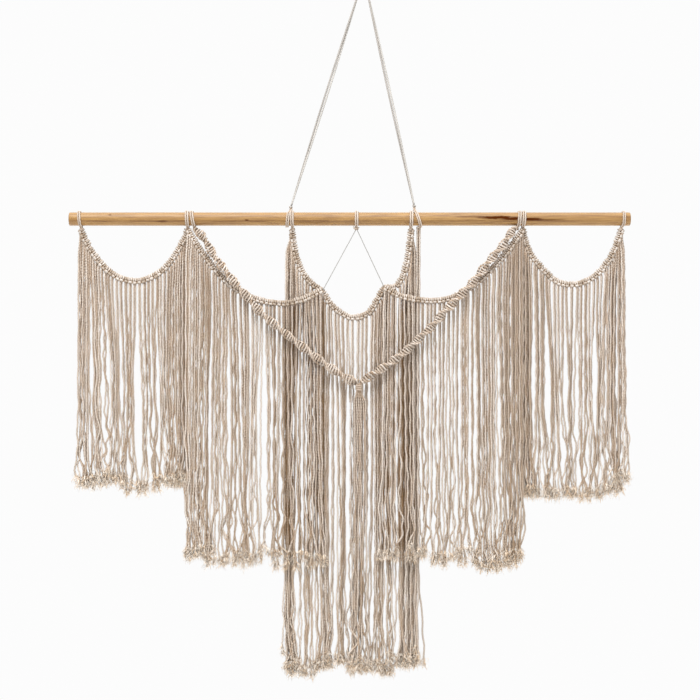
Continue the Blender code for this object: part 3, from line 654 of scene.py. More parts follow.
def set_the_stage():
    """A wall hanging seen square on: the dowel spans 561 of the view's 700 points across."""
    view_width = 700.0
    dowel_span = 560.8
    dowel_left = 69.3
    dowel_axis = 219.1
    distance = 3.2
    width = DOWEL_LENGTH * MM * view_width / dowel_span
    centre_x = DOWEL_LOW[0] + (view_width / 2 - dowel_left) / view_width * width
    centre_z = LAYOUT_ORIGIN[2] - (view_width / 2 - dowel_axis) / view_width * width
    camera = bpy.data.cameras.new("camera")
    camera.sensor_width = 36.0
    camera.lens = camera.sensor_width * distance / width
    holder = bpy.data.objects.new("camera", camera)
    holder.location = (centre_x, -distance, centre_z)
    holder.rotation_euler = (math.pi / 2, 0, 0)
    scene = bpy.context.scene
    scene.collection.objects.link(holder)
    scene.camera = holder
    scene.view_settings.view_transform = "Standard"
    scene.view_settings.look = "None"

    world_light = bpy.data.worlds.new("white studio")
    world_light.use_nodes = True
    tree = world_light.node_tree
    seen = add(tree, "ShaderNodeLightPath").outputs["Is Camera Ray"]
    direction = add(tree, "ShaderNodeTexCoord").outputs["Generated"]
    rise = add(tree, "ShaderNodeSeparateXYZ", None, {"Vector": direction}).outputs["Z"]
    overhead = add(tree, "ShaderNodeMapRange", {"interpolation_type": "SMOOTHSTEP"},
                   {"Value": rise, "From Min": 0.1, "From Max": 0.9, "To Min": HORIZON, "To Max": CEILING})
    below = add(tree, "ShaderNodeMapRange", {"interpolation_type": "SMOOTHSTEP"},
                {"Value": rise, "From Min": -0.15, "From Max": -0.85, "To Min": 0.0, "To Max": BOUNCE})
    around = add(tree, "ShaderNodeMath", {"operation": "ADD"},
                 {0: overhead.outputs[0], 1: below.outputs[0]})
    strength = add(tree, "ShaderNodeMix", None, {0: seen, 2: around.outputs[0], 3: SEEN_WALL})
    sky = tree.nodes["Background"]
    sky.inputs["Color"].default_value = (1.0, 1.0, 1.0, 1.0)
    tree.links.new(strength.outputs[0], sky.inputs["Strength"])
    scene.world = world_light

    for name, place, size, power in SOFTBOXES:
        lamp = bpy.data.lights.new(name, "AREA")
        lamp.size = size
        lamp.energy = power
        stand = bpy.data.objects.new(name, lamp)
        stand.location = (place[0] + centre_x, place[1], place[2] + centre_z)
        aim = Vector((centre_x, 0, centre_z)) - stand.location
        stand.rotation_euler = aim.to_track_quat("-Z", "Y").to_euler()
        stand.visible_camera = False
        scene.collection.objects.link(stand)

    floor_drop = 0.75
    floor_half = 1.5
    low = cad_bounds[0][2] - floor_drop
    mesh = bpy.data.meshes.new("floor")
    mesh.from_pydata([(-floor_half, -floor_half, low), (floor_half, -floor_half, low),
                      (floor_half, floor_half, low), (-floor_half, floor_half, low)], [], [(0, 1, 2, 3)])
    mesh.materials.append(plain_floor())
    floor = bpy.data.objects.new("floor", mesh)
    scene.collection.objects.link(floor)


def finish_piece(piece, slot, *nodes):
    """Says what the piece rides on and which bodies it stands for; `slot`, what it's made of, is not used."""
    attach(piece, "root")
    if nodes:
        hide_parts(*nodes)
    return piece


# ---------------------------------------------------------------- the hanging cord

HOOK_ACROSS = 524.0
HOOK_HEIGHT = 410.0        # where the cord bears on the hook, above the dowel's axis
HOOK_BEND = 7.5            # radius of the bend over the hook
LEFT_HANGER_KNOT = (395.0, 0.0, 21.4)
RIGHT_HANGER_KNOT = (615.0, 0.0, 23.4)
INSIDE_KNOT = 2.5          # a strand ends this far from the middle of its knot, hidden in it


def hanger_line(left_knot, right_knot):
    """Middle line of the two strands: straight up from a knot, round the hook and down to the other."""
    hook = np.array([HOOK_ACROSS, 0.0, HOOK_HEIGHT + HANGER_CORD - HOOK_BEND])
    halves = []
    for knot, side in ((left_knot, -1), (right_knot, 1)):
        run = abs(knot[0] - hook[0])
        fall = hook[2] - knot[2]
        leg_angle = math.atan2(run, fall) - math.asin(HOOK_BEND / math.hypot(run, fall))
        leave = hook + HOOK_BEND * np.array([side * math.cos(leg_angle), 0, math.sin(leg_angle)])
        reach = np.linalg.norm(knot - leave)
        start = leave + (knot - leave) * (1 - INSIDE_KNOT / reach)
        leg = [start + (leave - start) * share for share in np.linspace(0, 1, 81)]
        first = math.atan2(leave[2] - hook[2], leave[0] - hook[0])
        arc = [hook + HOOK_BEND * np.array([math.cos(a), 0, math.sin(a)])
               for a in np.linspace(first, math.pi / 2, 9)[1:-1]]
        halves.append(leg + arc)
    top = hook + np.array([0, 0, HOOK_BEND])
    return np.array(halves[0] + [top] + halves[1][::-1])


def add_hanger(cotton):
    """Two strands, laid once round each other between the knots, and the small knots at their feet."""
    left = np.array(LEFT_HANGER_KNOT)
    right = np.array(RIGHT_HANGER_KNOT)
    line = hanger_line(left, right)
    run = run_along(line)
    tangent = unit(np.gradient(line, axis=0))
    square = np.stack([tangent[:, 2], np.zeros(len(line)), -tangent[:, 0]], axis=1)
    turn = (math.pi / 2 + FULL_TURN * run / run[-1])[:, None]
    strand_gap = 0.3
    spacing = 2 * HANGER_CORD + strand_gap
    for name, side in (("hanger_strand_front", -1), ("hanger_strand_back", 1)):
        offset = square * np.cos(turn) + np.array([0.0, 1.0, 0.0]) * np.sin(turn)
        path = line + offset * side * spacing / 2
        work = Work()
        sweep(work, path, HANGER_CORD, sides=10, plies=TAUT_GROOVE, tone=0.5 - 0.28 * side, free=True)
        piece = finish_piece(work.build(name + "_cord", cotton), "cotton_cord", name)
    t = np.linspace(0, FULL_TURN, 72)
    trefoil = np.stack([np.sin(t) + 2 * np.sin(2 * t), np.cos(t) - 2 * np.cos(2 * t),
                        -1.2 * np.sin(3 * t)], axis=1)
    knot_size = [0.75, 0.75, 0.55]
    knot_cord = 1.35
    for name, middle in (("hanger_knot_left", left), ("hanger_knot_right", right)):
        work = Work()
        sweep(work, trefoil * knot_size + middle, knot_cord, tone=0.8, free=True)
        finish_piece(work.build(name + "_tied", cotton), "cotton_cord", name)


# ---------------------------------------------------------------- loops round the dowel

LOOP_CLEARANCE = 0.2       # between the cord and the wood
LEGS_LEAVE = math.radians(40)    # the legs leave the wood this far either side of its underside
LEGS_CLOSE = 8.0           # the two cords start to close up this far below the dowel's axis
TIE_CORD = 1.6
TIE_ABOVE_TIP = 0.6
LOOP_TIE_RADII = (2.6, 2.9)
CUT_END = 1.2              # radius of the cut ends of the middle loop's knot
# The tie on the right hanger loop, which holds the tail's cords to it: its middle and its radii.
TAIL_TIE = (623.0, 3.4, -14.6)
TAIL_TIE_RADII = (2.6, 3.2)


def loop_outline(loop):
    """A cord's turn round the dowel seen from its end: depth and height, from one leg's end to the other."""
    ring = DOWEL_RADIUS + LOOP_CLEARANCE + loop.thick
    angles = np.linspace(-math.pi / 2 + LEGS_LEAVE, 1.5 * math.pi - LEGS_LEAVE, 11)
    circle = np.stack([np.cos(angles), np.sin(angles)], 1) * ring
    start = np.array([[0.4, -loop.tip - 1.4], [1.6, -loop.tip + 1.4]])
    outline = smooth_curve(np.vstack([start, circle, start[::-1] * [-1, 1]]), 4)
    return outline * [-1, loop.up]


def loop_cords(loop):
    """Two cords side by side round the dowel, which lean and close up towards the loop's end."""
    work = Work()
    outline = loop_outline(loop)
    height = outline[:, 1] * loop.up
    share_up = np.clip((outline[:, 1] + DOWEL_RADIUS) / (2 * DOWEL_RADIUS), 0, 1)
    middle = loop.foot + (loop.top - loop.foot) * share_up
    below = ease((-height - LEGS_CLOSE) / (loop.tip - LEGS_CLOSE))
    middle = middle + (loop.end - middle) * below
    for side in (-0.5, 0.5):
        across = middle + side * loop.spacing * (1 - 0.35 * below)
        path = np.stack([across, outline[:, 0], outline[:, 1]], axis=1)
        sweep(work, path, loop.thick, plies=PLY_GROOVE, tone=0.6 + 0.2 * side, free=True)
    return work


def add_tie(work, middle, radii):
    """A turn of cord that binds the legs of a loop together."""
    angles = np.linspace(0, FULL_TURN * 1.05, 22)
    ring = np.stack([np.cos(angles) * radii[0], np.sin(angles) * radii[1],
                     (angles / FULL_TURN - 0.5) * TIE_CORD], axis=1)
    sweep(work, ring + middle, TIE_CORD, tone=0.45, free=True)


def add_loops(cotton):
    """Every loop round the dowel with its tie, and the cut ends of the middle loop's knot."""
    for loop in LOOPS:
        work = loop_cords(loop)
        if loop.up > 0:
            add_tie(work, np.array([loop.end, 0, TIE_ABOVE_TIP - loop.tip]), LOOP_TIE_RADII)
        if loop.name == "loop_hanger_right":
            add_tie(work, np.array(TAIL_TIE), TAIL_TIE_RADII)
        if loop.name == "loop_middle":
            for way in (-1, 1):
                ends = np.array([(loop.end + 1.5 * way, -2.5, -16.2),
                                 (loop.end + 3.6 * way, -2.9, -16.6 + way),
                                 (loop.end + 5.2 * way, -2.7, -14.4 - way)])
                sweep(work, smooth_curve(ends, 4), CUT_END, tone=0.5, free=True)
        finish_piece(work.build(loop.name + "_cords", cotton), "cotton_cord", loop.name)


# ---------------------------------------------------------------- swags of lark's head knots

HOLDING_CORD = 2.9
KNOT_SPACING = 7.6
KNOT_STEP = 1.6            # distance between rings along a knot's cord
KNOT_CORD = 1.55           # radius of the cord where the knot pulls it thin
KNOT_HEIGHT = 1.12         # how tall a knot is, and how far it stands out in front, against the half below
KNOT_FULLNESS = 0.9
KNOT_SHADE = 1.7           # painted shade in a knot's hollows, stronger as they are deeper than the gaps between hanging cords
BAND_ENDS = 2.5            # how far the outermost knots lie from the band's ends
STEEP_ENDS = 60.0          # the knots this near to the ends lie on a steep slope and pull their cords less
# Half a lark's head with its bar in front: along the holding cord, away from the fringe, towards the front.
HALF_KNOT = (
    (-2.05, -5.4, 0.6), (-2.05, -3.8, 1.4), (-2.1, -1.2, 3.0), (-2.2, 1.5, 3.6), (-2.2, 3.4, 2.0),
    (-2.2, 3.7, -0.6), (-2.3, 2.2, -3.0), (-2.6, -0.6, -3.5), (-3.0, -2.9, -1.7), (-3.2, -3.4, 1.0),
    (-2.9, -3.1, 3.8), (-1.6, -2.9, 5.0),
)


def larks_head():
    """One knot, which every knot on the bands repeats: its middle line, corners, faces and surface values."""
    half = np.array(HALF_KNOT)
    mirrored = half[::-1] * [-1, 1, 1]
    path = even_curve(smooth_curve(np.vstack([half, [[0, -2.9, 5.2]], mirrored]), 6), KNOT_STEP)
    # The bar across the front is slacker, and fuller for it.
    thick = KNOT_CORD + 0.4 * ease((path[:, 2] - 2.9) / 2)
    work = Work()
    # The holding cord and the knots on either side add to its painted shade too.
    for place in (0, -KNOT_SPACING, KNOT_SPACING):
        sweep(work, path + [place, 0, 0], thick, plies=PLY_GROOVE, free=True)
    sweep(work, [(along, 1, 0) for along in (-8, 0, 8)], HOLDING_CORD)
    size = len(work.corners[0])
    # The knot's painted shade, made stronger in its deepest hollows.
    return (path, work.corners[0], work.quads[0], work.tris[0], work.values["groove"][0],
            KNOT_SHADE * work.crevices()[:size] ** 1.3)


def band_line(rows, step):
    """A smooth line through a table's rows."""
    points = smooth_curve([(row.across, row.depth, -row.drop) for row in rows], 12)
    return even_curve(points, step)


def add_swag(panel, cotton, knot):
    """The holding cord and its knots. Returns where each cord of the fringe leaves its knot."""
    knot_path, corners, quads, tris, groove, crevice = knot
    work = Work()
    fine = band_line(panel.band, 1.0)
    sweep(work, fine[::2] + [0, 0, 1.4], HOLDING_CORD, sides=8, tone=0.25)
    count = int(round((len(fine) - 1 - 2 * BAND_ENDS) / KNOT_SPACING)) + 1
    places = np.linspace(BAND_ENDS, len(fine) - 1 - BAND_ENDS, count)
    tangent = unit(np.gradient(fine, axis=0))
    front = np.array([0.0, -1.0, 0.0])
    exits = []
    for place in places:
        index = int(round(place))
        along = unit(tangent[index] * [1, 0, 1])
        up = np.array([-along[2], 0.0, along[0]])
        tilt = LIVELY.normal(0, 0.12)
        turned_along = along * math.cos(tilt) + up * math.sin(tilt)
        up = up * math.cos(tilt) - along * math.sin(tilt)
        along = turned_along
        size = LIVELY.uniform(0.92, 1.08)
        middle = fine[index] + front * LIVELY.normal(0, 0.3) + up * LIVELY.normal(0, 0.35)
        axes = np.stack([along, up * KNOT_HEIGHT, front * KNOT_FULLNESS]) * size
        tone = LIVELY.uniform(0.1, 0.85)
        # Along, up and front are left-handed, so the faces turn over.
        work.add(middle + corners @ axes, quads[:, ::-1], tris[:, ::-1], tone, groove, 0.0, crevice)
        knotted = middle + knot_path @ axes
        # The knots' lines give the holding cord painted shade where it runs through them.
        work.trace(knotted, np.arange(len(knotted)) * KNOT_STEP, np.full(len(knotted), KNOT_CORD), 0)
        pull = 0.3 + 0.7 * float(ease(min(place, len(fine) - 1 - place) / STEEP_ENDS))
        for side in (-1, 1):
            start = middle + np.array([1.3 * side, -4.8 * pull, 0.9 - 0.9 * side]) @ axes
            exits.append(Exit(start, -up * pull, tone, len(exits) // 2, side))
    finish_piece(work.build("swag_" + panel.name, cotton), "cotton_cord", "band_" + panel.name)
    return exits


# ---------------------------------------------------------------- fringe

FRAY_LENGTH = 17.0
FIBRES_AN_END = 44
CUT_ABOVE_TIP = 0.48       # the cord itself ends this share of the fray's length above the tuft's tip
OPENING = 22.0             # a cord's plies open over this length above its cut end
SHADE_BEHIND = 0.68        # painted shade on a cord where it hangs behind another panel
FRINGE_LAYER = 3.4         # depth from one layer of a lock's cords to the next
MOST_LAYERS = 4
AGED_OVER = 700.0          # a cord's colour goes on changing over this length
AGED_MOST = 0.32
MINGLE = 7.0               # how far a lock's tufts stray among its neighbours'
GATHERED = 58.0            # a cord has come round to its lock this far below its knot
GATHERED_SOONER = 26.0     # so much less of a drop for a cord that its knot doesn't pull
NECK = 5.0                 # a cord hangs straight down from this far below its knot
PULLED_NECK = 8.0          # and so much further when its knot pulls it
WAVES_START = 30.0         # its waves grow from nothing over this length below the knot
CRIMPS_START = 90.0        # and its crimp over this one
LAYER_REACHED = 45.0       # it comes to its own layer's depth over this length
LOOSE_END = 150.0          # short waves grow again over a last stretch of this length


def hanging_path(start, away, levels, places, depth, waves, crimp, wander):
    """A cord from its knot down to its tip, as points across, back and up.

    `away` is the way that it leaves its knot, longer when it's pulled harder. `levels` are heights, falling,
    and `places` across there. `waves` and `crimp` sway it sideways and `wander` back and forth: each is an
    amount, a wavelength and a phase.
    """
    neck = NECK + PULLED_NECK * np.linalg.norm(away)
    shoulder = start[2] - neck
    first_across = start[0] + away[0] * 2.2 + 0.12 * (places[0] - start[0])
    # A cubic curve from the knot round to the shoulder, where the cord hangs straight down.
    t = np.linspace(0, 1, 5)[:-1, None]
    controls = np.array([[start[0], start[2]], [start[0] + away[0] * 2.6, start[2] + away[2] * 2.6],
                         [first_across, shoulder + neck * 0.55], [first_across, shoulder]])
    top = ((1 - t) ** 3 * controls[0] + 3 * (1 - t) ** 2 * t * controls[1]
           + 3 * (1 - t) * t ** 2 * controls[2] + t ** 3 * controls[3])
    count = max(3, int((shoulder - levels[-1]) / CORD_STEP))
    heights = np.linspace(shoulder, levels[-1], count)
    known = -np.array([shoulder] + list(levels))
    across = smooth_through(known, np.array([first_across] + list(places)), -heights)
    heights = np.concatenate([top[:, 1], heights])
    across = np.concatenate([top[:, 0], across])
    share = np.clip((start[2] - heights) / (start[2] - levels[-1]), 0, 1)
    grow = (0.10 + 0.90 * share ** 1.5) * np.clip((start[2] - heights) / WAVES_START, 0, 1)
    for amount, length, phase in waves:
        # The short waves grow up to twice as strong towards the end.
        livelier = 1 + np.clip(70 / length, 0, 1.0) * ease((heights[-1] + LOOSE_END - heights) / 110)
        across = across + grow * livelier * amount * np.sin(FULL_TURN * heights / length + phase)
    crimped = ease((start[2] - heights) / CRIMPS_START)
    for amount, length, phase in crimp:
        across = across + crimped * amount * np.sin(FULL_TURN * heights / length + phase)
    back = start[1] + (depth - start[1]) * ease((start[2] - heights) / LAYER_REACHED)
    for amount, length, phase in wander:
        back = back + np.clip(share * 2, 0, 1) * amount * np.sin(FULL_TURN * heights / length + phase)
    return np.stack([across, back, heights], axis=1)


def fray_ends(work, ends, tones):
    """A tuft of loose fibres at every cut end: they leave its last stretch, spread, bow and hang past it."""
    count = len(ends) * FIBRES_AN_END
    tips = np.array([end[-1] for end in ends])
    upward = unit(np.array([end[0] - end[-1] for end in ends]))
    turn = LIVELY.uniform(0, FULL_TURN, count)
    outward = np.stack([np.cos(turn), np.sin(turn), np.zeros(count)], axis=1)
    inner = LIVELY.uniform(0.1, 1.6, count)[:, None]
    back = LIVELY.uniform(-4.0, 14.0, count)[:, None]
    roots = (np.repeat(tips, FIBRES_AN_END, axis=0) + np.repeat(upward, FIBRES_AN_END, axis=0) * back
             + outward * inner)
    splay = LIVELY.uniform(1.0, 12.0, count)[:, None]
    reach = FRAY_LENGTH * LIVELY.uniform(0.25, 1.0, count)
    lean = np.repeat(LIVELY.normal(0, 2.0, (len(tips), 3)) * [1, 0.6, 0], FIBRES_AN_END, axis=0)
    foot = roots + outward * splay * [1, 0.7, 1] + lean * (reach / FRAY_LENGTH)[:, None]
    foot[:, 2] -= np.sqrt(np.clip(reach ** 2 - splay[:, 0] ** 2, 1, None)) * LIVELY.uniform(0.5, 1.0, count)
    bow = outward * LIVELY.normal(1.2, 1.6, count)[:, None] + LIVELY.normal(0, 1.3, (count, 3))
    tone = np.clip(np.repeat(tones, FIBRES_AN_END) + LIVELY.normal(0, 0.6, count), 0, 1)
    add_fibres(work, roots, foot, bow, LIVELY.uniform(0.35, 1.05, count), tone)


def within(start, end, share):
    """A place inside a lock, a cord's radius in from its sides."""
    inset = min(CORD, (end - start) / 2)
    return start + inset + (end - start - 2 * inset) * share


def hang_cord(cords, start, away, levels, places, depth, shared_wave, tone, behind=None, calm=1.0):
    """One cord of a fringe, which gets livelier and opens towards its cut end. Returns its tip.

    `shared_wave` is the wave that its whole lock follows, `behind` tells how far it hangs behind another
    panel, for its painted shade, and `calm` scales its own waves.
    """
    lively = 0.4 + calm * (abs(LIVELY.normal(0, 0.9)) + (2.0 if LIVELY.uniform() < 0.15 else 0.0))
    waves = (shared_wave,
             (lively, LIVELY.uniform(62, 118), LIVELY.uniform(0, 6.28)),
             (lively * 0.35, LIVELY.uniform(30, 50), LIVELY.uniform(0, 6.28)))
    crimp = ((LIVELY.uniform(0.1, 0.7), LIVELY.uniform(24, 42), LIVELY.uniform(0, 6.28)),)
    wander = ((LIVELY.uniform(0.3, 1.2), LIVELY.uniform(60, 120), LIVELY.uniform(0, 6.28)),)
    path = hanging_path(start, away, levels, places, depth, waves, crimp, wander)
    opening = np.clip((path[:, 2] - levels[-1]) / OPENING, 0, 1)
    # A cord is a little yellower the further it hangs from its knot.
    aged = AGED_MOST * ease((start[2] - path[:, 2]) / AGED_OVER)
    # Painted shade where the cord hangs behind another panel; being in its colour, it shows from behind too.
    shade = 0.0 if behind is None else SHADE_BEHIND * behind(path)
    sweep(cords, path, CORD * (1.35 - 0.35 * opening), plies=PLY_GROOVE + 0.25 * (1 - opening),
          turned=LIVELY.uniform(0, 6.28), tone=tone, fray=np.maximum(aged, 0.8 * (1 - opening) ** 1.5),
          crevice=shade)
    return path[-4:]


def behind_middle_panels(path):
    """How far a centre cord hangs behind one of the middle panels, for its painted shade: 1 well inside it, 0
    in the open.
    """
    across = path[:, 0]
    drop = -path[:, 2]
    inside = 0.0
    for band, low, high in ((MIDDLE_LEFT_BAND, 380.0, 456.0), (MIDDLE_RIGHT_BAND, 556.0, 622.0)):
        band_drop = np.interp(across, [row.across for row in band], [row.drop for row in band])
        covered = ease((drop - band_drop - 4) / 14) * ease((618 - drop) / 40)
        inside = np.maximum(inside, covered * ((across > low) & (across < high)))
    return inside


def lock_layers(members, width):
    """How many layers deep the cords of a lock hang: more where many share a narrow width."""
    crowding = len(members) * 3.0 / max(width, 4)
    return max(1, min(MOST_LAYERS, round(crowding ** 1.5)))


def add_fringe(panel, exits, cotton):
    """Every cord of a panel's fringe, lock by lock, and the tufts at its cut ends."""
    cords = Work()
    ends = Work()
    tips = []
    tones = []
    behind = behind_middle_panels if panel.name == "centre" else None
    # The centre panel's cords start from a lighter tone: painted light, lifting them where the garland shades
    # them.
    darkest = 0.3 if panel.name == "centre" else 0.14
    for number, lock in enumerate(panel.locks):
        members = [e for e in exits if lock.top_from <= e.start[0] < lock.top_to]
        if number in panel.thin:
            members = members[::2]
        knots = sorted({e.knot for e in members},
                       key=lambda knot: min(e.start[0] for e in members if e.knot == knot))
        layers = lock_layers(members, lock.mid_to - lock.mid_from)
        # Cords packed close hold each other straight.
        calm = 0.3 if layers > 2 else 1.0
        shared_wave = (LIVELY.uniform(0.5, 1.6), LIVELY.uniform(100, 180), LIVELY.uniform(0, 6.28))
        # The tufts of neighbouring locks mingle, but none leans out past the panel's edge.
        tips_from = lock.low_from - (MINGLE if number > 0 else 1)
        tips_to = lock.low_to + (MINGLE if number < len(panel.locks) - 1 else 1)
        for order, knot in enumerate(knots):
            pair = [e for e in members if e.knot == knot]
            share = order / (len(knots) - 1) if len(knots) > 1 else 0.5
            middle = within(lock.mid_from + 1, lock.mid_to - 1, share) + LIVELY.normal(0, 0.5)
            half_gap = LIVELY.uniform(0.3, 1.6) if len(pair) > 1 else 0.0
            layer = FRINGE_LAYER * (order % layers)
            for start, away, tone, _, side in pair:
                mid = middle + half_gap * side
                # Near a band's ends the knots pull less, and the cords fall into their lock sooner.
                soon = 1 - np.linalg.norm(away)
                near = start[0] + (mid - start[0]) * (0.12 + 0.9 * soon)
                low = (within(lock.low_from - 1.5, lock.low_to + 1.5, share) + half_gap * side
                       + LIVELY.normal(0, 1.7 * calm))
                tip = (within(tips_from, tips_to, share) + half_gap * side
                       + LIVELY.normal(0, 2.6 * calm))
                end_height = -(lock.tip + LIVELY.normal(0, 2.8)) + FRAY_LENGTH * CUT_ABOVE_TIP
                depth = panel.front + layer + 1.2 * (1 + side) + LIVELY.uniform(-0.8, 0.8)
                levels = (start[2] - GATHERED + GATHERED_SOONER * soon, -panel.mid, -panel.low, end_height)
                places = (near, mid, low, tip)
                stray = STRAYS.get((panel.name, number, order if order == 0 else order - len(knots), side))
                if stray:
                    levels = levels[:2] + tuple(-drop for drop, _ in stray)
                    places = places[:2] + tuple(place for _, place in stray)
                tone = np.clip(darkest + tone * 0.4 + LIVELY.uniform(0, 0.66), 0, 1)
                tips.append(hang_cord(cords, start, away, levels, places, depth, shared_wave, tone, behind,
                                      calm))
                tones.append(tone)
    fray_ends(ends, tips, tones)
    finish_piece(cords.build("fringe_" + panel.name + "_cords", cotton), "cotton_cord",
                 "fringe_" + panel.name)
    finish_piece(ends.build("fringe_" + panel.name + "_ends", cotton), "cotton_cord")


# ---------------------------------------------------------------- garland, tassel and tail

HALF_KNOT_SPACING = 5.3
RINGS_A_KNOT = 14
GARLAND_STEP = 0.5
GARLAND_EDGE = 6.1         # from the garland's middle line out to the cord on the spiral's edge
GARLAND_CORD = 1.8
GARLAND_TAPER = 0.22       # how much slimmer it starts, and it reaches full size after three knots
CORE_CORD = 1.4
CORE_OFFSET = 1.1
# The garland's halves: line, size against a plain spiral, how far a knot's flat face lies from the middle
# line, and how many degrees each crossing creeps round.
GARLANDS = (
    ("garland_left", GARLAND_LEFT, 1.14, 3.4, 28),
    ("garland_right", GARLAND_RIGHT, 1.13, 3.1, 34),
)


def add_garland(name, rows, size, waist, creep, cotton):
    """A spiral of half knots: two cords cross round a core, and each crossing creeps round a little.

    A cord runs along the edge between two crossings, so it is slow to turn there and quick across the face.
    """
    work = Work()
    line = band_line(rows, GARLAND_STEP)
    run = np.arange(len(line)) * GARLAND_STEP
    tangent_line = unit(np.gradient(line, axis=0))
    count = int(round(run[-1] / HALF_KNOT_SPACING))

    def place(share, angle, reach):
        at = np.clip(share * run[-1], 0, run[-1])
        middle = np.stack([np.interp(at, run, line[:, k]) for k in range(3)], axis=1)
        tangent = unit(np.stack([np.interp(at, run, tangent_line[:, k]) for k in range(3)], axis=1))
        side = unit(np.array([0.0, 1.0, 0.0]) - tangent * tangent[:, 1:2])
        other = np.cross(tangent, side)
        return middle + side * (np.cos(angle) * reach)[:, None] + other * (np.sin(angle) * reach)[:, None]

    knots = np.linspace(0.2, count - 0.2, count * RINGS_A_KNOT)
    wave = np.sin(FULL_TURN * knots) / FULL_TURN
    taper = 1 - GARLAND_TAPER + GARLAND_TAPER * ease(knots / 3)
    edge = GARLAND_EDGE * size * taper
    face = waist * size * taper
    reach = face + (edge - face) * np.abs(np.cos(math.pi * knots)) ** 1.3
    thick = GARLAND_CORD * (0.4 + 0.6 * size) * (0.78 + 0.24 * np.cos(math.pi * knots) ** 2)
    slack = np.interp(knots, np.arange(count + 2), LIVELY.normal(1.0, 0.08, count + 2))
    shift = np.interp(knots, np.arange(count + 2), LIVELY.normal(0.0, 0.16, count + 2))
    for cord in (0, 1):
        angle = knots * math.radians(creep) + math.pi * (knots - 0.8 * wave + cord)
        path = place((knots + 0.8 * wave + shift) / count, angle, reach * slack)
        # Slack and tight crossings catch the light differently.
        crossing = np.interp(knots, np.arange(count + 2), LIVELY.normal(0, 0.28, count + 2))
        tone = np.repeat(np.clip(0.45 + 0.25 * cord + crossing, 0, 1), 6)
        sweep(work, path, thick, plies=PLY_GROOVE, tone=tone, free=True)
    # The core's dark tone is painted shade: it lies deep inside the knots.
    core = np.linspace(0, count, count * 3)
    for way in (0, 1):
        angle = core * math.radians(creep) + math.pi * way
        path = place(core / count, angle, np.full(len(core), CORE_OFFSET * size))
        sweep(work, path, CORE_CORD * size, tone=0.2, free=True)
    finish_piece(work.build(name + "_half_knots", cotton), "cotton_cord", name)


TASSEL_ACROSS = 516.7      # the binding's middle, where the garland's halves meet
TASSEL_DEPTH = -10.0
WRAP_TOP = -294.6
WRAP_TURNS = 3.0
WRAP_PITCH = 3.35
WRAP_CORD = 1.9
WRAP_RADII = (5.2, 4.2)
WRAP_CORE = 4.0
WRAP_CORE_HEIGHTS = (-291, -299, -306)
TASSEL_CORDS = 11
TASSEL_TIP = 800.0


def add_wrap_and_tassel(cotton):
    """The binding, a coil of cord round a core, and the long tassel that leaves it in two layers."""
    work = Work()
    angles = np.linspace(0, FULL_TURN * WRAP_TURNS, int(WRAP_TURNS * 26))
    climb = -angles / FULL_TURN * WRAP_PITCH
    coil = np.stack([TASSEL_ACROSS + np.cos(angles) * WRAP_RADII[0],
                     TASSEL_DEPTH + np.sin(angles) * WRAP_RADII[1], WRAP_TOP + climb], axis=1)
    # Its crevice value below nought takes a little of the painted shade out of the gaps between its turns.
    sweep(work, coil, WRAP_CORD, tone=0.2, crevice=-0.1, free=True)
    core = [(TASSEL_ACROSS, TASSEL_DEPTH, height) for height in WRAP_CORE_HEIGHTS]
    sweep(work, core, WRAP_CORE, sides=10, tone=0.1)
    finish_piece(work.build("garland_wrap_coil", cotton), "cotton_cord", "garland_wrap")
    cords = Work()
    ends = Work()
    tips = []
    tones = []
    for number in range(TASSEL_CORDS):
        share = (number + 0.5) / TASSEL_CORDS
        back = number % 2
        start = np.array([512.4 + 8.6 * share, -12.2 + 2.6 * back, -293.0])
        neck = 510.6 + 12.6 * share
        waist = 507.8 + 20.6 * share
        mid = 507.4 + 23.0 * np.clip(share + LIVELY.normal(0, 0.06), 0, 1)
        low = 504.5 + 26 * np.clip(share + LIVELY.normal(0, 0.12), 0, 1)
        end_height = -(TASSEL_TIP + LIVELY.normal(0, 5)) + FRAY_LENGTH * CUT_ABOVE_TIP
        tone = LIVELY.uniform(0.15, 0.95)
        tips.append(hang_cord(cords, start, np.array([0, 0, -1.0]), (-313, -325, -400, -700, end_height),
                              (neck, waist, mid, low, low + LIVELY.normal(0, 3)),
                              -9.5 + FRINGE_LAYER * back, (0.8, 130, 0.5), tone))
        tones.append(tone)
    fray_ends(ends, tips, tones)
    finish_piece(cords.build("garland_tassel_cords", cotton), "cotton_cord", "garland_tassel")
    finish_piece(ends.build("garland_tassel_ends", cotton), "cotton_cord")


# The tail's cords: across at the top, half way down, low down and at the tip, the tip's drop, and depth.
TAIL_CORDS = (
    (619.4, 618.0, 617, 616, 783, 3.2),
    (623.9, 622.4, 621, 622, 792, 3.6),
    (621.9, 620.6, 624, 634, 806, 7.4),
    (620.4, 619.4, 619, 618, 788, 8.0),
)


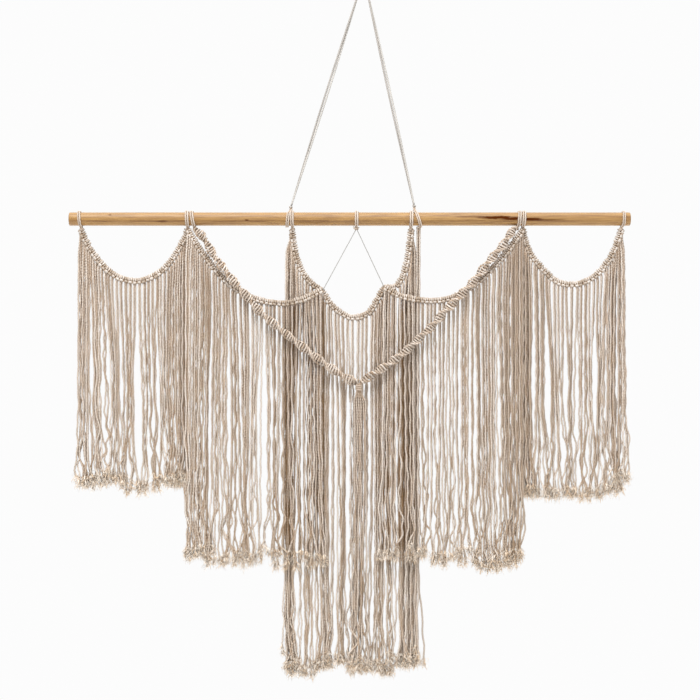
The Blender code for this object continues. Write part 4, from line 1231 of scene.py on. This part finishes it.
def add_tail(cotton):
    """Four loose cords that hang from the right hanger loop, each a piece of its own."""
    ends = Work()
    paths = []
    for number, (top, mid, low, tip, drop, depth) in enumerate(TAIL_CORDS):
        start = np.array([top + 1.5, 2.5 + number, -14.5])
        end_height = -drop + FRAY_LENGTH * 0.6
        waves = ((0.8, 130, number * 2.0), (0.5, 60, number * 3.0))
        crimp = ((0.4, 40, number),)
        wander = ((0.3, 90, number),)
        paths.append(hanging_path(start, np.array([0, 0, -1.0]), (-330, -640, end_height), (mid, low, tip),
                                  depth, waves, crimp, wander))
    nodes = ["tail_bundle"]
    for number, path in enumerate(paths):
        work = Work()
        opening = np.clip((path[:, 2] - path[-1, 2]) / OPENING, 0, 1)
        sweep(work, path, CORD, plies=STILL_GROOVE, turned=number, tone=0.62 + 0.2 * (number % 2),
              fray=0.6 * (1 - opening) ** 2)
        # Each tail cord gets painted shade in the gaps between it and the other three.
        for other in paths[:number] + paths[number + 1:]:
            work.trace(other, run_along(other), np.full(len(other), CORD), 0)
        piece = finish_piece(work.build("tail_cord_%d" % (number + 1), cotton), "cotton_cord", *nodes)
        nodes = []
    fray_ends(ends, [path[-4:] for path in paths], [0.5] * len(paths))
    finish_piece(ends.build("tail_ends", cotton), "cotton_cord")


# ---------------------------------------------------------------- stay threads and dowel

THREAD = 0.8
# The stay threads: name, top and foot.
STAYS = (
    ("stay_left", (510.9, 0, -19.1), (452.4, 0.1, -126.2)),
    ("stay_right", (513.1, 0, -19.1), (560.6, 0.1, -120)),
)


def add_stays(thread):
    """Two straight threads that hold up the centre swag's peaks."""
    for name, top, foot in STAYS:
        work = Work()
        sweep(work, np.linspace(top, foot, 40), THREAD, tone=0.5, free=True)
        finish_piece(work.build(name + "_thread", thread), "stay_thread", name)


def add_dowel(wood):
    """A round bar with eased ends, its surface very slightly uneven along its length."""
    sides = 96
    edge = 2.0                 # radius of the eased ends
    profile = [(0.0, 0.0), (0.0, DOWEL_RADIUS - edge)]
    for step in range(1, 6):
        angle = math.pi / 2 * step / 5
        profile.append((edge * (1 - math.cos(angle)), DOWEL_RADIUS - edge + edge * math.sin(angle)))
    inner = [(x, DOWEL_RADIUS) for x in np.linspace(10, DOWEL_LENGTH - 10, 50)]
    right = [(DOWEL_LENGTH - x, r) for x, r in profile[::-1]]
    outline = profile[1:] + inner + right[:-1]
    verts = []
    angles = FULL_TURN * np.arange(sides) / sides
    for x, radius in outline:
        # The bar swells and shrinks by under a tenth of a millimetre, every 300 mm.
        swell = 1 - 0.004 * (1 + math.sin(x * 0.021 + 1)) if 5 < x < DOWEL_LENGTH - 5 else 0.996
        ring = np.stack([np.full(sides, x), np.cos(angles) * radius * swell,
                         np.sin(angles) * radius * swell], axis=1)
        verts.append(ring)
    quads, fans = tube_faces(len(outline), sides)
    work = Work()
    work.add(np.vstack(verts), quads, fans, 0.5, 0.0, 0.0)
    piece = work.build("dowel_turned", wood)
    piece.data.set_sharp_from_angle(angle=math.radians(50))
    finish_piece(piece, "wood", "dowel")


# ---------------------------------------------------------------- make it

def main():
    """The camera comes first, then the free cords, then the rest from the dowel outwards."""
    set_the_stage()
    cotton = twisted_cotton("twisted_cotton_cord", "B19C87", "F4EBE2")
    # The hanging cord has been handled and bleached by light more than the rest.
    add_hanger(twisted_cotton("faded_hanging_cord", "9F9993", "CCC8C2", grooves=0.04, fuzz=0.1))
    add_tail(cotton)
    add_dowel(oiled_pine())
    add_loops(cotton)
    # Pulled tight, a knotted cord shows less of its loose warm fibre, so it looks a little greyer.
    knotted = twisted_cotton("tightly_knotted_cotton_cord", "AC9D8C", "EFEBE7")
    knot = larks_head()
    for panel in PANELS:
        exits = add_swag(panel, knotted, knot)
        add_fringe(panel, exits, cotton)
    for name, rows, size, waist, creep in GARLANDS:
        add_garland(name, rows, size, waist, creep, cotton)
    add_wrap_and_tassel(cotton)
    add_stays(grey_thread())


main()
